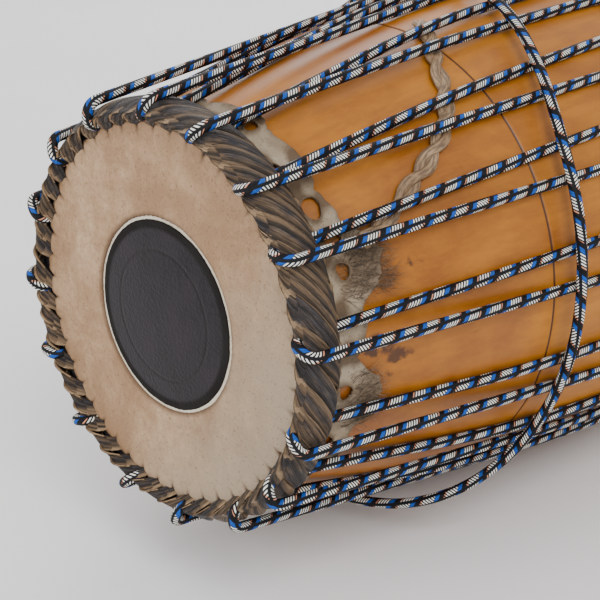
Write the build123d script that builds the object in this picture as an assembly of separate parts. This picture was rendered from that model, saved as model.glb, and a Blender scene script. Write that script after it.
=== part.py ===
from build123d import *
import math
import os

# A double-headed barrel hand drum that lies on its side.
# +X runs along the drum from the treble head to the bass head and +Z is up.
# The origin is under the middle of the drum, on the surface it rests on.
# Two words are used for places: a station is the distance in mm from the treble playing
# face towards the bass one, and a depth is the distance in from either playing face.
# Angles are in degrees about the drum's axis, from +Z towards +Y.

# Wooden shell
HEAD_TO_HEAD = 560.0
BELLY_STATION = 290.0
BELLY_RADIUS = 125.0
TREBLE_RIM_RADIUS = 80.0
BASS_RIM_RADIUS = 92.0
TREBLE_RIM_WALL = 13.0
BASS_RIM_WALL = 14.0
BELLY_WALL = 17.0
BORE_EDGE_FILLET = 4.0
TURNED_LINE_STATION = 132.0
TURNED_LINE_RADIUS = 0.9
TURNED_LINE_DEPTH = 0.5

# Hide layers of a head, from the rim outwards
HIDE_CLEARANCE = 0.05
INNER_RING_THICKNESS = 0.9
MEMBRANE_THICKNESS = 0.4
REED_GAP = 0.4
OUTER_RING_THICKNESS = 0.9
INNER_RING_WIDTH = 12.0
MEMBRANE_FOLD_DEPTH = 12.0
FLAP_DEPTH = 35.0
HIDE_EDGE_MARGIN = 6.0
TREBLE_WINDOW_RADIUS = 44.6
BASS_WINDOW_RADIUS = 62.0

# Flap of the inner ring that lies on the shell beyond the braid
FLAP_HOLE_COUNT = 16
FLAP_HOLE_RADIUS = 4.2
FLAP_HOLE_DEPTH = 26.0
FLAP_NOTCH_RADIUS = 11.0
FLAP_NOTCH_DEPTH = 42.0

# Black tuning patch on the treble membrane
PATCH_RADIUS = 42.4
PATCH_EDGE_HEIGHT = 0.5
PATCH_CROWN_HEIGHT = 1.9

# Reed slivers under the inner edge of the treble outer ring
REED_COUNT = 16
REED_LENGTH = 11.0
REED_WIDTH = 1.4
REED_THICKNESS = 0.3

# Plaited rim
CORE_FRONT_DEPTH = 1.1
CORE_BACK_DEPTH = 16.0
CORE_CROWN_RISE = 12.0
CORE_FRONT_CHAMFER = 2.7
CORE_BACK_CHAMFER = 3.8
THONG_COUNT = 48
THONG_WIDTH = 7.2
THONG_THICKNESS = 2.6
THONG_GAP = 0.1
THONG_SLANT = 49.0
THONG_PHASE = 4.0
THONG_FRONT_OVERLAP = 2.0
THONG_TUCK = 3.2
THONG_REACH = 70.0
THONG_CHANNEL_REACH = 16.0

# Lacing rope
ROPE_DIAMETER = 5.0
ROPE_SEAT = 0.25
ROPE_CHANNEL_CLEARANCE = 0.45
LOOP_REACH = 5.0
LOOP_SPREAD = 4.0
LOOP_FILLET_SHARE = 0.47
LOOP_CROWN_DROP = 0.7
UNDER_RISE = 7.6
UNDER_BEND_DEPTH = 9.0
UNDER_BEND_RISE = 0.4
CHANNEL_DEPTH = 24.0
RUN_FILLET_SHARE = 0.45
CREST_BEND = 50.0
TREBLE_LOOP_ANGLES = (1, 26, 48, 71, 94, 116, 139, 164, 187, 213, 232, 252, 278, 301, 320, 341)
BASS_LOOP_TURN = 2.0

# Waist cord over the lacing, as angle, station and slack above the lacing
WAIST_ROUTE = (
    (56.5, 191, 4), (70, 182, 0), (85, 169, 0), (102, 154, 0), (121, 136, 0), (141, 118, 0),
    (160, 104, 0), (178, 95, 0), (194, 93, 2), (207, 99, 6), (217, 114, 7), (227, 128, 3),
    (241, 134, 0), (257, 136, 0), (274, 138, 0), (291, 141, 0), (307, 146, 0), (322, 158, 0),
    (338, 173, 0), (355, 185, 0), (373, 193, 0), (391, 196, 0), (409.5, 192, 4))
WAIST_SEAT = 0.6
KNOT_RADIUS = 6.2
KNOT_END_CLEARANCE = 0.15
WAIST_KNOT_TURNS = 4
LACING_KNOT_TURNS = 3
LACING_KNOT_LENGTH = 12.6
LACING_KNOT_BORE_CLEARANCE = 0.3
KNOT_STUB_LENGTH = 13.0
KNOT_STUB_SPLAY = 35.0
LACING_KNOT_DEPTH = 33.0

# Rawhide tail of the treble braid, as angle and station, flat on the shell under the lacing
TAIL_ROUTE = (
    (298, 38), (301, 50), (304, 60), (307.5, 70), (311, 81), (315, 93), (321, 105),
    (328, 114), (335, 121), (343, 133), (351, 142))
STRIP_WIDTH = 7.0
STRIP_THICKNESS = 2.4
STRIP_SEAT = 0.2
STRIP_CROSSING_CLEARANCE = 1.0

CENTRE_ON_FOOT = (Align.CENTER, Align.CENTER, Align.MIN)
ROPE_RADIUS = ROPE_DIAMETER / 2
ROPE_LIFT = ROPE_RADIUS + ROPE_SEAT
LOOP_COUNT = len(TREBLE_LOOP_ANGLES)
TREBLE = "treble"
BASS = "bass"
RIM_DEPTH = (
    INNER_RING_THICKNESS + MEMBRANE_THICKNESS + REED_GAP + OUTER_RING_THICKNESS + 3 * HIDE_CLEARANCE
)
RIM_RADIUS = {TREBLE: TREBLE_RIM_RADIUS, BASS: BASS_RIM_RADIUS}
WINDOW_RADIUS = {TREBLE: TREBLE_WINDOW_RADIUS, BASS: BASS_WINDOW_RADIUS}


# ---------------------------------------------------------------- places and outlines


def arc_radius(rim_radius, length):
    """Radius of an arc that is level at the belly and falls to the rim over the length."""
    rise = BELLY_RADIUS - rim_radius
    return (length**2 + rise**2) / (2 * rise)


def arc_length_to_rim(end):
    """Length along the axis from the belly to the rim of one end."""
    to_face = BELLY_STATION if end == TREBLE else HEAD_TO_HEAD - BELLY_STATION
    return to_face - RIM_DEPTH


def end_at(station):
    """The end whose half of the shell holds the station."""
    return TREBLE if station <= BELLY_STATION else BASS


def shell_radius(station):
    """Outer radius of the shell."""
    end = end_at(station)
    radius = arc_radius(RIM_RADIUS[end], arc_length_to_rim(end))
    from_belly = station - BELLY_STATION
    return BELLY_RADIUS - radius + math.sqrt(radius**2 - from_belly**2)


def station_of(end, depth):
    """Station of a depth measured in from one playing face."""
    return depth if end == TREBLE else HEAD_TO_HEAD - depth


def fold_radius(end, depth):
    """Outer radius of the shell at a depth, used by the layers folded over the rim."""
    return shell_radius(station_of(end, max(depth, RIM_DEPTH)))


def axial(station):
    """Position along X of a station."""
    return station - HEAD_TO_HEAD / 2


def place(station, radius, angle):
    """Point at a station, radius and angle."""
    turn = math.radians(angle)
    return Vector(axial(station), radius * math.sin(turn), radius * math.cos(turn))


def turned(points):
    """Solid of revolution about the drum's axis from (station, radius) points."""
    outline = Polyline([(axial(station), radius) for station, radius in points], close=True)
    return revolve(make_face(Plane.XY * outline), Axis.X, 360)


def turned_at_end(end, points):
    """Solid of revolution from (depth, radius) points measured at one end."""
    return turned([(station_of(end, depth), radius) for depth, radius in points])


def tube(points, radii, radius=ROPE_RADIUS):
    """Round tube along straight runs and tangent arcs, with its path."""
    path = FilletPolyline(*points, radius=radii)
    start = Plane(origin=path @ 0, z_dir=path % 0)
    return sweep(start * Circle(radius), path=path), path


def corner_radii(points, share):
    """Arc radius for each inner corner: the share of the shorter run over tan of half the turn."""
    radii = []
    for before, corner, after in zip(points, points[1:], points[2:]):
        run_in = corner - before
        run_out = after - corner
        half_turn = math.radians(run_in.get_angle(run_out)) / 2
        radii.append(share * min(run_in.length, run_out.length) / math.tan(half_turn))
    return radii


def tangent_station(end, station, radius, lift, towards_belly=True):
    """Station where a straight line from a point outside touches the shell raised by the lift."""
    bend = arc_radius(RIM_RADIUS[end], arc_length_to_rim(end)) + lift
    centre_radius = BELLY_RADIUS + lift - bend
    along = abs(station - BELLY_STATION)
    up = radius - centre_radius
    swing = math.acos(min(1.0, bend / math.hypot(along, up)))
    lean = math.atan2(along, up) - (swing if towards_belly else -swing)
    side = -1 if end == TREBLE else 1
    return BELLY_STATION + side * bend * math.sin(lean)


def tangent_crossing(station_a, station_b, lift):
    """Station and radius where the tangents at two stations of the raised shell meet."""
    lines = []
    for station in (station_a, station_b):
        end = end_at(station)
        bend = arc_radius(RIM_RADIUS[end], arc_length_to_rim(end)) + lift
        lean = math.asin((station - BELLY_STATION) / bend)
        radius = BELLY_RADIUS + lift - bend + bend * math.cos(lean)
        lines.append((station, radius, -math.tan(lean)))
    (s1, r1, m1), (s2, r2, m2) = lines
    crossing = (r2 - r1 + m1 * s1 - m2 * s2) / (m1 - m2)
    return crossing, r1 + m1 * (crossing - s1)


# ---------------------------------------------------------------- shell


def barrel_outline(rim_radii, belly_radius, treble_station, bass_station):
    """Points and arcs of one barrel curve from rim to rim."""
    arcs = []
    for station, rim_radius in zip((treble_station, bass_station), rim_radii):
        rise = belly_radius - rim_radius
        run = abs(station - BELLY_STATION)
        bend = (run**2 + rise**2) / (2 * rise)
        middle = (station + BELLY_STATION) / 2
        middle_radius = belly_radius - bend + math.sqrt(bend**2 - (run / 2) ** 2)
        arcs.append(
            ThreePointArc(
                (axial(station), rim_radius),
                (axial(middle), middle_radius),
                (axial(BELLY_STATION), belly_radius),
            )
        )
    return arcs


def shell():
    """Hollow barrel with rounded bores and one turned line."""
    treble_station = RIM_DEPTH
    bass_station = HEAD_TO_HEAD - RIM_DEPTH
    outer_radii = (TREBLE_RIM_RADIUS, BASS_RIM_RADIUS)
    inner_radii = (TREBLE_RIM_RADIUS - TREBLE_RIM_WALL, BASS_RIM_RADIUS - BASS_RIM_WALL)
    outer = barrel_outline(outer_radii, BELLY_RADIUS, treble_station, bass_station)
    inner = barrel_outline(inner_radii, BELLY_RADIUS - BELLY_WALL, treble_station, bass_station)
    rims = [Line(outer[0] @ 0, inner[0] @ 0), Line(outer[1] @ 0, inner[1] @ 0)]
    face = make_face(outer + inner + rims)
    bore_corners = [
        corner
        for corner in face.vertices()
        if any(abs(corner.Y - radius) < 0.01 for radius in inner_radii)
    ]
    face = fillet(bore_corners, BORE_EDGE_FILLET)
    body = revolve(face, Axis.X, 360)
    line_radius = shell_radius(TURNED_LINE_STATION) + TURNED_LINE_RADIUS - TURNED_LINE_DEPTH
    line_plane = Plane(origin=(axial(TURNED_LINE_STATION), 0, 0), z_dir=(1, 0, 0))
    return body - line_plane * Torus(line_radius, TURNED_LINE_RADIUS)


# ---------------------------------------------------------------- heads


def layer_offsets():
    """Distance from the rim to the near and far side of each hide layer."""
    inner = (HIDE_CLEARANCE, HIDE_CLEARANCE + INNER_RING_THICKNESS)
    membrane = (inner[1] + HIDE_CLEARANCE, inner[1] + HIDE_CLEARANCE + MEMBRANE_THICKNESS)
    reed = (membrane[1] + (REED_GAP - REED_THICKNESS) / 2, membrane[1] + REED_GAP)
    return {"inner": inner, "membrane": membrane, "reed": reed}


def folded_layer(end, offsets, inner_radius, fold_depths):
    """Hide layer that lies across the rim and folds down over the shell."""
    near, far = offsets
    rim = RIM_RADIUS[end]
    inside = [(depth, fold_radius(end, depth) + near) for depth in fold_depths]
    outside = [(depth, fold_radius(end, depth) + far) for depth in reversed(fold_depths)]
    points = [(RIM_DEPTH - near, inner_radius), (RIM_DEPTH - near, rim + near)]
    points += inside + outside
    points += [(RIM_DEPTH - far, rim + far), (RIM_DEPTH - far, inner_radius)]
    return turned_at_end(end, points)


def inner_ring_hide(end):
    """Ring under the membrane whose flap runs out over the shell, with holes and a notched edge."""
    bore = RIM_RADIUS[end] - INNER_RING_WIDTH
    steps = [RIM_DEPTH + (FLAP_DEPTH - RIM_DEPTH) * step / 3 for step in (1, 2, 3)]
    ring = folded_layer(end, layer_offsets()["inner"], bore, steps)
    pitch = 360 / FLAP_HOLE_COUNT
    cutters = []
    for index in range(FLAP_HOLE_COUNT):
        for depth, radius, shift in (
            (FLAP_HOLE_DEPTH, FLAP_HOLE_RADIUS, 0),
            (FLAP_NOTCH_DEPTH, FLAP_NOTCH_RADIUS, pitch / 2),
        ):
            angle = index * pitch + shift
            foot = place(station_of(end, depth), RIM_RADIUS[end] / 2, angle)
            outward = place(0, 1, angle) - place(0, 0, angle)
            drill = Plane(origin=foot, z_dir=outward)
            cutters.append(drill * Cylinder(radius, RIM_RADIUS[end], align=CENTRE_ON_FOOT))
    return ring - cutters


def membrane(end):
    """Thin playing skin across the whole opening, folded down under the braid."""
    near, far = layer_offsets()["membrane"]
    rim = RIM_RADIUS[end]
    edge = fold_radius(end, MEMBRANE_FOLD_DEPTH)
    points = [
        (RIM_DEPTH - near, 0),
        (RIM_DEPTH - near, rim + near),
        (MEMBRANE_FOLD_DEPTH, edge + near),
        (MEMBRANE_FOLD_DEPTH, edge + far),
        (RIM_DEPTH - far, rim + far),
        (RIM_DEPTH - far, 0),
    ]
    return turned_at_end(end, points)


def outer_ring_hide(end):
    """Outer hide ring, flat to the braid, notched where the rope loops pass."""
    radius = RIM_RADIUS[end] + HIDE_EDGE_MARGIN
    window = WINDOW_RADIUS[end]
    points = [
        (0, window),
        (0, radius),
        (OUTER_RING_THICKNESS, radius),
        (OUTER_RING_THICKNESS, window),
    ]
    ring = turned_at_end(end, points)
    return ring - [slots[0] for angle, slots in CHANNELS[end]]


def tuning_patch():
    """Low dome of hard black paste on the treble membrane."""
    base = RIM_DEPTH - layer_offsets()["membrane"][1] - HIDE_CLEARANCE
    profile = make_face(
        [
            Line((axial(base), 0), (axial(base), PATCH_RADIUS)),
            Line((axial(base), PATCH_RADIUS), (axial(base - PATCH_EDGE_HEIGHT), PATCH_RADIUS)),
            ThreePointArc(
                (axial(base - PATCH_EDGE_HEIGHT), PATCH_RADIUS),
                (axial(base - patch_height(PATCH_RADIUS / 2)), PATCH_RADIUS / 2),
                (axial(base - PATCH_CROWN_HEIGHT), 0),
            ),
            Line((axial(base - PATCH_CROWN_HEIGHT), 0), (axial(base), 0)),
        ]
    )
    return revolve(profile, Axis.X, 360)


def patch_height(radius):
    """Height of the patch's domed top above its base."""
    rise = PATCH_CROWN_HEIGHT - PATCH_EDGE_HEIGHT
    bend = (PATCH_RADIUS**2 + rise**2) / (2 * rise)
    return PATCH_CROWN_HEIGHT - bend + math.sqrt(bend**2 - radius**2)


def reed_slivers():
    """Thin split reeds that lie between the treble membrane and its outer ring."""
    near, _ = layer_offsets()["reed"]
    middle = TREBLE_WINDOW_RADIUS + HIDE_CLEARANCE + REED_LENGTH / 2 + 1.0
    slivers = []
    for index in range(REED_COUNT):
        angle = index * 360 / REED_COUNT
        centre = place(RIM_DEPTH - near - REED_THICKNESS / 2, middle, angle)
        outward = place(0, 1, angle) - place(0, 0, angle)
        lie = Plane(origin=centre, x_dir=outward, z_dir=(1, 0, 0))
        slivers.append(lie * Box(REED_LENGTH, REED_WIDTH, REED_THICKNESS))
    return slivers


# ---------------------------------------------------------------- plaited rims


def core_crown_radius(end):
    """Outer radius of the braid's core ring."""
    return RIM_RADIUS[end] + CORE_CROWN_RISE


def braid_crown_radius(end):
    """Outer radius of the thongs on the core ring."""
    return core_crown_radius(end) + THONG_GAP + THONG_THICKNESS


def braid_core(end):
    """Ring of bundled rawhide that the thongs are plaited round."""
    under = layer_offsets()["membrane"][1] + 3 * HIDE_CLEARANCE
    crown = core_crown_radius(end)
    inner_edge = fold_radius(end, CORE_FRONT_DEPTH) + under
    points = [
        (CORE_FRONT_DEPTH, inner_edge),
        (CORE_FRONT_DEPTH, crown - CORE_FRONT_CHAMFER),
        (CORE_FRONT_DEPTH + CORE_FRONT_CHAMFER, crown),
        (CORE_BACK_DEPTH - CORE_BACK_CHAMFER, crown),
        (CORE_BACK_DEPTH, crown - CORE_BACK_CHAMFER),
        (CORE_BACK_DEPTH, fold_radius(end, CORE_BACK_DEPTH) + under),
        (MEMBRANE_FOLD_DEPTH, fold_radius(end, MEMBRANE_FOLD_DEPTH) + under),
    ]
    return turned_at_end(end, points) - [way for angle, slots in CHANNELS[end] for way in slots]


def thong_band(end):
    """Ring of the section that all the thongs of one braid share, wrapped round the core."""
    crown = core_crown_radius(end)
    front = CORE_FRONT_DEPTH - THONG_GAP
    back = CORE_BACK_DEPTH + THONG_GAP
    wrap = THONG_THICKNESS / 2
    tuck = crown - THONG_TUCK - THONG_THICKNESS
    inside = [
        (front, crown - CORE_FRONT_CHAMFER - THONG_FRONT_OVERLAP),
        (front, crown - CORE_FRONT_CHAMFER),
        (CORE_FRONT_DEPTH + CORE_FRONT_CHAMFER, crown + THONG_GAP),
        (CORE_BACK_DEPTH - CORE_BACK_CHAMFER, crown + THONG_GAP),
        (back, crown - CORE_BACK_CHAMFER),
        (back, tuck),
    ]
    outside = [
        (back + wrap, tuck),
        (back + wrap, crown - wrap),
        (back - CORE_BACK_CHAMFER, crown + THONG_GAP + THONG_THICKNESS),
        (front + CORE_FRONT_CHAMFER, crown + THONG_GAP + THONG_THICKNESS),
        (front - wrap, crown - wrap),
        (front - wrap, crown - CORE_FRONT_CHAMFER - THONG_FRONT_OVERLAP),
    ]
    return turned_at_end(end, inside + outside)


def braid_thongs(end):
    """Slanting folds of thong that wrap the core, each notched where a rope loop passes."""
    band = thong_band(end)
    side = 1 if end == TREBLE else -1
    middle_depth = (CORE_FRONT_DEPTH + CORE_BACK_DEPTH) / 2
    middle_radius = core_crown_radius(end)
    folds = []
    for index in range(THONG_COUNT):
        angle = index * 360 / THONG_COUNT + THONG_PHASE
        centre = place(station_of(end, middle_depth), middle_radius, angle)
        outward = place(0, 1, angle) - place(0, 0, angle)
        slanted = Vector(side, 0, 0).rotate(Axis((0, 0, 0), outward), -THONG_SLANT * side)
        lie = Plane(origin=centre, x_dir=slanted, z_dir=outward)
        fold = band & lie * Box(THONG_REACH, THONG_WIDTH, THONG_REACH / 2)
        for loop_angle, slots in CHANNELS[end]:
            apart = (loop_angle - angle + 180) % 360 - 180
            if abs(apart) < THONG_CHANNEL_REACH:
                fold = fold - slots
        folds.append(max(fold.solids(), key=lambda solid: solid.volume))
    return folds


# ---------------------------------------------------------------- lacing


def bass_loop_angle(index):
    """Angle of the bass loop between treble loops index and index + 1."""
    here = TREBLE_LOOP_ANGLES[index % LOOP_COUNT] + 360 * (index // LOOP_COUNT)
    after = index + 1
    there = TREBLE_LOOP_ANGLES[after % LOOP_COUNT] + 360 * (after // LOOP_COUNT)
    return (here + there) / 2 + BASS_LOOP_TURN


def under_radius(end):
    """Centre of the rope where it passes beneath the braid."""
    return RIM_RADIUS[end] + UNDER_RISE


def over_radius(end):
    """Centre of the rope where its loop starts back over the braid."""
    return braid_crown_radius(end) + ROPE_LIFT - LOOP_CROWN_DROP


def loop_ends(end, angle):
    """The bend under the braid, then the loop's under and over corners outside the face."""
    low = place(station_of(end, UNDER_BEND_DEPTH), under_radius(end) + UNDER_BEND_RISE, angle + LOOP_SPREAD / 2)
    under = place(station_of(end, -LOOP_REACH), under_radius(end), angle + LOOP_SPREAD / 2)
    over = place(station_of(end, -LOOP_REACH), over_radius(end), angle - LOOP_SPREAD / 2)
    return low, under, over


def loop_channel(end, angle, far_angle):
    """Clear way for the rope beneath the braid, as two slots that meet at its bend."""
    low, under, over = loop_ends(end, angle)
    start_angle = angle + LOOP_SPREAD / 2
    straight = tangent_crossing_from(end, UNDER_BEND_DEPTH, under_radius(end) + UNDER_BEND_RISE)
    drift = (far_angle - start_angle) * CHANNEL_DEPTH / HEAD_TO_HEAD
    deep = place(station_of(end, CHANNEL_DEPTH), straight(CHANNEL_DEPTH), start_angle + drift)
    return [slot(under, low), slot(low, deep)]


def slot(start, finish):
    """Square way between two points, with clearance round the rope and a little past both."""
    direction = (finish - start).normalized()
    outward = Vector(0, start.Y, start.Z).normalized()
    foot = Plane(origin=start - direction * ROPE_RADIUS, x_dir=outward, z_dir=direction)
    length = (finish - start).length + 2 * ROPE_RADIUS
    side = 2 * (ROPE_RADIUS + ROPE_CHANNEL_CLEARANCE)
    return foot * Box(side, side, length, align=CENTRE_ON_FOOT)


def tangent_crossing_from(end, depth, radius):
    """Radius against depth along the straight rope that leaves a point and touches the shell."""
    touch = tangent_station(end, station_of(end, depth), radius, ROPE_LIFT)
    touch_depth = touch if end == TREBLE else HEAD_TO_HEAD - touch
    slope = (shell_radius(touch) + ROPE_LIFT - radius) / (touch_depth - depth)
    return lambda at_depth: radius + slope * (at_depth - depth)


def loop_radii(points, under_index):
    """Corner radii of a rope path whose loop runs from points[under_index] to the next one."""
    radii = corner_radii(points, RUN_FILLET_SHARE)
    across = (points[under_index + 1] - points[under_index]).length
    for corner in (under_index, under_index + 1):
        run_in = points[corner] - points[corner - 1]
        run_out = points[corner + 1] - points[corner]
        half_turn = math.radians(run_in.get_angle(run_out)) / 2
        radii[corner - 1] = LOOP_FILLET_SHARE * across / math.tan(half_turn)
    return radii


def strip_crossing(angle_at):
    """Station where a lacing strand passes over the rawhide tail, or None."""
    for (angle_a, station_a), (angle_b, station_b) in zip(TAIL_ROUTE, TAIL_ROUTE[1:]):
        gap_a = (angle_a - angle_at(station_a) + 180) % 360 - 180
        gap_b = (angle_b - angle_at(station_b) + 180) % 360 - 180
        if gap_a * gap_b < 0 and abs(gap_a - gap_b) < 90:
            return station_a + (station_b - station_a) * gap_a / (gap_a - gap_b)
    return None


def strand_corners(treble_point, bass_point):
    """Corners of a tight strand between its two ends, given as (station, radius, angle)."""
    station_t, radius_t, angle_t = treble_point
    station_b, radius_b, angle_b = bass_point

    def angle_at(station):
        return angle_t + (angle_b - angle_t) * (station - station_t) / (station_b - station_t)

    corners = []
    touch_t = tangent_station(TREBLE, station_t, radius_t, ROPE_LIFT)
    crossing = strip_crossing(angle_at)
    if crossing is not None:
        over_strip = STRIP_SEAT + STRIP_THICKNESS + STRIP_CROSSING_CLEARANCE + ROPE_RADIUS
        crest = shell_radius(crossing) + over_strip
        slope = (shell_radius(touch_t) + ROPE_LIFT - radius_t) / (touch_t - station_t)
        if crossing > touch_t or crest > radius_t + slope * (crossing - station_t):
            leave = tangent_station(TREBLE, crossing, crest, ROPE_LIFT, towards_belly=False)
            if leave > touch_t:
                station, radius = tangent_crossing(touch_t, leave, ROPE_LIFT)
                corners.append((station, radius, angle_at(station), None))
            corners.append((crossing, crest, angle_at(crossing), CREST_BEND))
            touch_t = tangent_station(TREBLE, crossing, crest, ROPE_LIFT)
    touch_b = tangent_station(BASS, station_b, radius_b, ROPE_LIFT)
    touches = [
        touch_t,
        (touch_t + BELLY_STATION) / 2,
        BELLY_STATION,
        (touch_b + BELLY_STATION) / 2,
        touch_b,
    ]
    for touch_a, touch_b in zip(touches, touches[1:]):
        station, radius = tangent_crossing(touch_a, touch_b, ROPE_LIFT)
        corners.append((station, radius, angle_at(station), None))
    return corners


def lacing_run(index):
    """One run of the rope: from a bass loop to a treble loop and back to the next bass loop."""
    treble_angle = TREBLE_LOOP_ANGLES[index]
    angle_in = bass_loop_angle(index - 1)
    angle_out = bass_loop_angle(index)
    half = LOOP_SPREAD / 2
    low_in, under_in, over_in = loop_ends(BASS, angle_in)
    low_out, under_out, over_out = loop_ends(BASS, angle_out)
    low_t, under_t, over_t = loop_ends(TREBLE, treble_angle)
    bass_low = under_radius(BASS) + UNDER_BEND_RISE
    treble_low = under_radius(TREBLE) + UNDER_BEND_RISE
    coming = strand_corners(
        (-LOOP_REACH, over_radius(TREBLE), treble_angle - half),
        (station_of(BASS, UNDER_BEND_DEPTH), bass_low, angle_in + half),
    )
    going = strand_corners(
        (UNDER_BEND_DEPTH, treble_low, treble_angle + half),
        (station_of(BASS, -LOOP_REACH), over_radius(BASS), angle_out - half),
    )
    points = [(under_in + over_in) / 2, under_in, low_in]
    bends = [None, None, None]
    for station, radius, angle, bend in reversed(coming):
        points.append(place(station, radius, angle))
        bends.append(bend)
    points += [over_t, under_t, low_t]
    bends += [None, None, None]
    treble_loop = len(points) - 3
    for station, radius, angle, bend in going:
        points.append(place(station, radius, angle))
        bends.append(bend)
    points += [over_out, (under_out + over_out) / 2]
    bends += [None, None]
    radii = loop_radii(points, treble_loop)
    for corner, bend in enumerate(bends):
        if bend is not None:
            radii[corner - 1] = bend
    radii[0] = radii[-1] = LOOP_FILLET_SHARE * (over_out - under_out).length
    run, path = tube(points, radii)
    report_cord(f"lacing_run_{index + 1:02d}", run, path, radii)
    return run


def report_cord(name, solid, path, radii):
    """Print a cord's length, its volume against section times length, and its tightest arcs."""
    expected = math.pi * ROPE_RADIUS**2 * path.length
    share = solid.volume / expected
    tightest = ", ".join(f"{radius:.1f}" for radius in sorted(radii)[:4])
    print(f"{name}: length {path.length:.0f} mm, volume ratio {share:.4f}, tightest radii {tightest}")


def lacing_knot():
    """Barrel knot that the rope's two ends make round the last strand, just before the bass loop."""
    angle_t = TREBLE_LOOP_ANGLES[-1] + LOOP_SPREAD / 2
    angle_b = bass_loop_angle(LOOP_COUNT - 1) - LOOP_SPREAD / 2
    station = station_of(BASS, LACING_KNOT_DEPTH)
    share = (station - UNDER_BEND_DEPTH) / (HEAD_TO_HEAD + LOOP_REACH - UNDER_BEND_DEPTH)
    angle = angle_t + (angle_b - angle_t) * share
    height = tangent_crossing_from(BASS, -LOOP_REACH, over_radius(BASS))
    centre = place(station, height(LACING_KNOT_DEPTH), angle)
    ahead = place(station + 1, height(LACING_KNOT_DEPTH - 1), angle + (angle_b - angle_t) / HEAD_TO_HEAD)
    bore = ROPE_RADIUS + LACING_KNOT_BORE_CLEARANCE
    direction = (ahead - centre).normalized()
    return knot_turns(centre, direction, LACING_KNOT_TURNS, LACING_KNOT_LENGTH, bore)


def knot_turns(centre, direction, turns, length, bore=0.0):
    """Rounded turns of a pulled knot, side by side along a direction."""
    pitch = length / turns
    half_turn = pitch / 2
    start = -length / 2
    profile = [Line((start, bore), (start, KNOT_RADIUS - half_turn))]
    for turn in range(turns):
        left = start + turn * pitch
        profile.append(
            ThreePointArc(
                (left, KNOT_RADIUS - half_turn),
                (left + half_turn, KNOT_RADIUS),
                (left + pitch, KNOT_RADIUS - half_turn),
            )
        )
    profile.append(Line((-start, KNOT_RADIUS - half_turn), (-start, bore)))
    profile.append(Line((-start, bore), (start, bore)))
    turned_knot = revolve(make_face(profile), Axis.X, 360)
    across = direction.cross(Vector(0, 0, 1)).normalized()
    frame = Plane(origin=centre, x_dir=direction, z_dir=across)
    return frame * turned_knot


# ---------------------------------------------------------------- waist cord and rawhide tail


def lacing_top(station):
    """Outer radius of the highest lacing strands at a station."""
    end = end_at(station)
    depth = station if end == TREBLE else HEAD_TO_HEAD - station
    touch = tangent_station(end, station_of(end, -LOOP_REACH), over_radius(end), ROPE_LIFT)
    touch_depth = touch if end == TREBLE else HEAD_TO_HEAD - touch
    if depth < touch_depth:
        return tangent_crossing_from(end, -LOOP_REACH, over_radius(end))(depth) + ROPE_RADIUS
    return shell_radius(station) + ROPE_LIFT + ROPE_RADIUS


def corner_stretch(angles, index):
    """How far out a corner stands so that the runs beside it clear a round body."""
    steps = []
    if index > 0:
        steps.append(abs(angles[index] - angles[index - 1]))
    if index < len(angles) - 1:
        steps.append(abs(angles[index + 1] - angles[index]))
    return 1 / math.cos(math.radians(max(steps)) / 2)


def waist_points():
    """Corners of the waist cord."""
    angles = [angle for angle, station, slack in WAIST_ROUTE]
    points = []
    for index, (angle, station, slack) in enumerate(WAIST_ROUTE):
        radius = lacing_top(station) + WAIST_SEAT + ROPE_RADIUS + slack
        points.append(place(station, radius * corner_stretch(angles, index), angle))
    return points


def waist_cord():
    """Cord tied once round the body, slack on the underside."""
    points = waist_points()
    radii = corner_radii(points, RUN_FILLET_SHARE)
    cord, path = tube(points, radii)
    report_cord("waist_cord", cord, path, radii)
    return cord


def waist_knot():
    """Knot that fills the gap between the waist cord's two ends, with two short stubs."""
    first, second, *_, before, last = waist_points()
    direction = (first - last).normalized()
    centre = (first + last) / 2
    tilt = max(direction.get_angle(second - first), direction.get_angle(last - before))
    gap = KNOT_END_CLEARANCE + ROPE_RADIUS * math.sin(math.radians(tilt))
    length = (first - last).length - 2 * gap
    knot = knot_turns(centre, direction, WAIST_KNOT_TURNS, length)
    outward = Vector(0, centre.Y, centre.Z).normalized()
    stubs = []
    for side in (-1, 1):
        lean = Vector(side * math.sin(math.radians(KNOT_STUB_SPLAY)), 0, 0)
        stub_direction = lean + outward * math.cos(math.radians(KNOT_STUB_SPLAY))
        start = Plane(origin=centre + direction * (side * ROPE_RADIUS), z_dir=stub_direction)
        stubs.append(start * Cylinder(ROPE_RADIUS, KNOT_STUB_LENGTH, align=CENTRE_ON_FOOT))
    return knot + stubs


def thong_tail():
    """Flat twisted rawhide strip that lies on the shell beneath the lacing."""
    angles = [angle for angle, station in TAIL_ROUTE]
    middle = STRIP_SEAT + STRIP_THICKNESS / 2
    points = []
    for index, (angle, station) in enumerate(TAIL_ROUTE):
        radius = (shell_radius(station) + middle) * corner_stretch(angles, index)
        points.append(place(station, radius, angle))
    strip, _ = tube(points, corner_radii(points, RUN_FILLET_SHARE), STRIP_WIDTH / 2)
    stations = [station for angle, station in TAIL_ROUTE]
    low = [(station, shell_radius(station) + STRIP_SEAT) for station in stations]
    high = [(station, radius + STRIP_THICKNESS) for station, radius in reversed(low)]
    return strip & turned(low + high)


# ---------------------------------------------------------------- the whole drum

CHANNELS = {TREBLE: [], BASS: []}
for loop in range(LOOP_COUNT):
    treble_at = TREBLE_LOOP_ANGLES[loop]
    bass_at = bass_loop_angle(loop)
    next_treble_at = TREBLE_LOOP_ANGLES[(loop + 1) % LOOP_COUNT] + 360 * ((loop + 1) // LOOP_COUNT)
    CHANNELS[TREBLE].append((treble_at, loop_channel(TREBLE, treble_at, bass_at - LOOP_SPREAD / 2)))
    CHANNELS[BASS].append((bass_at, loop_channel(BASS, bass_at, next_treble_at - LOOP_SPREAD / 2)))


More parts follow.
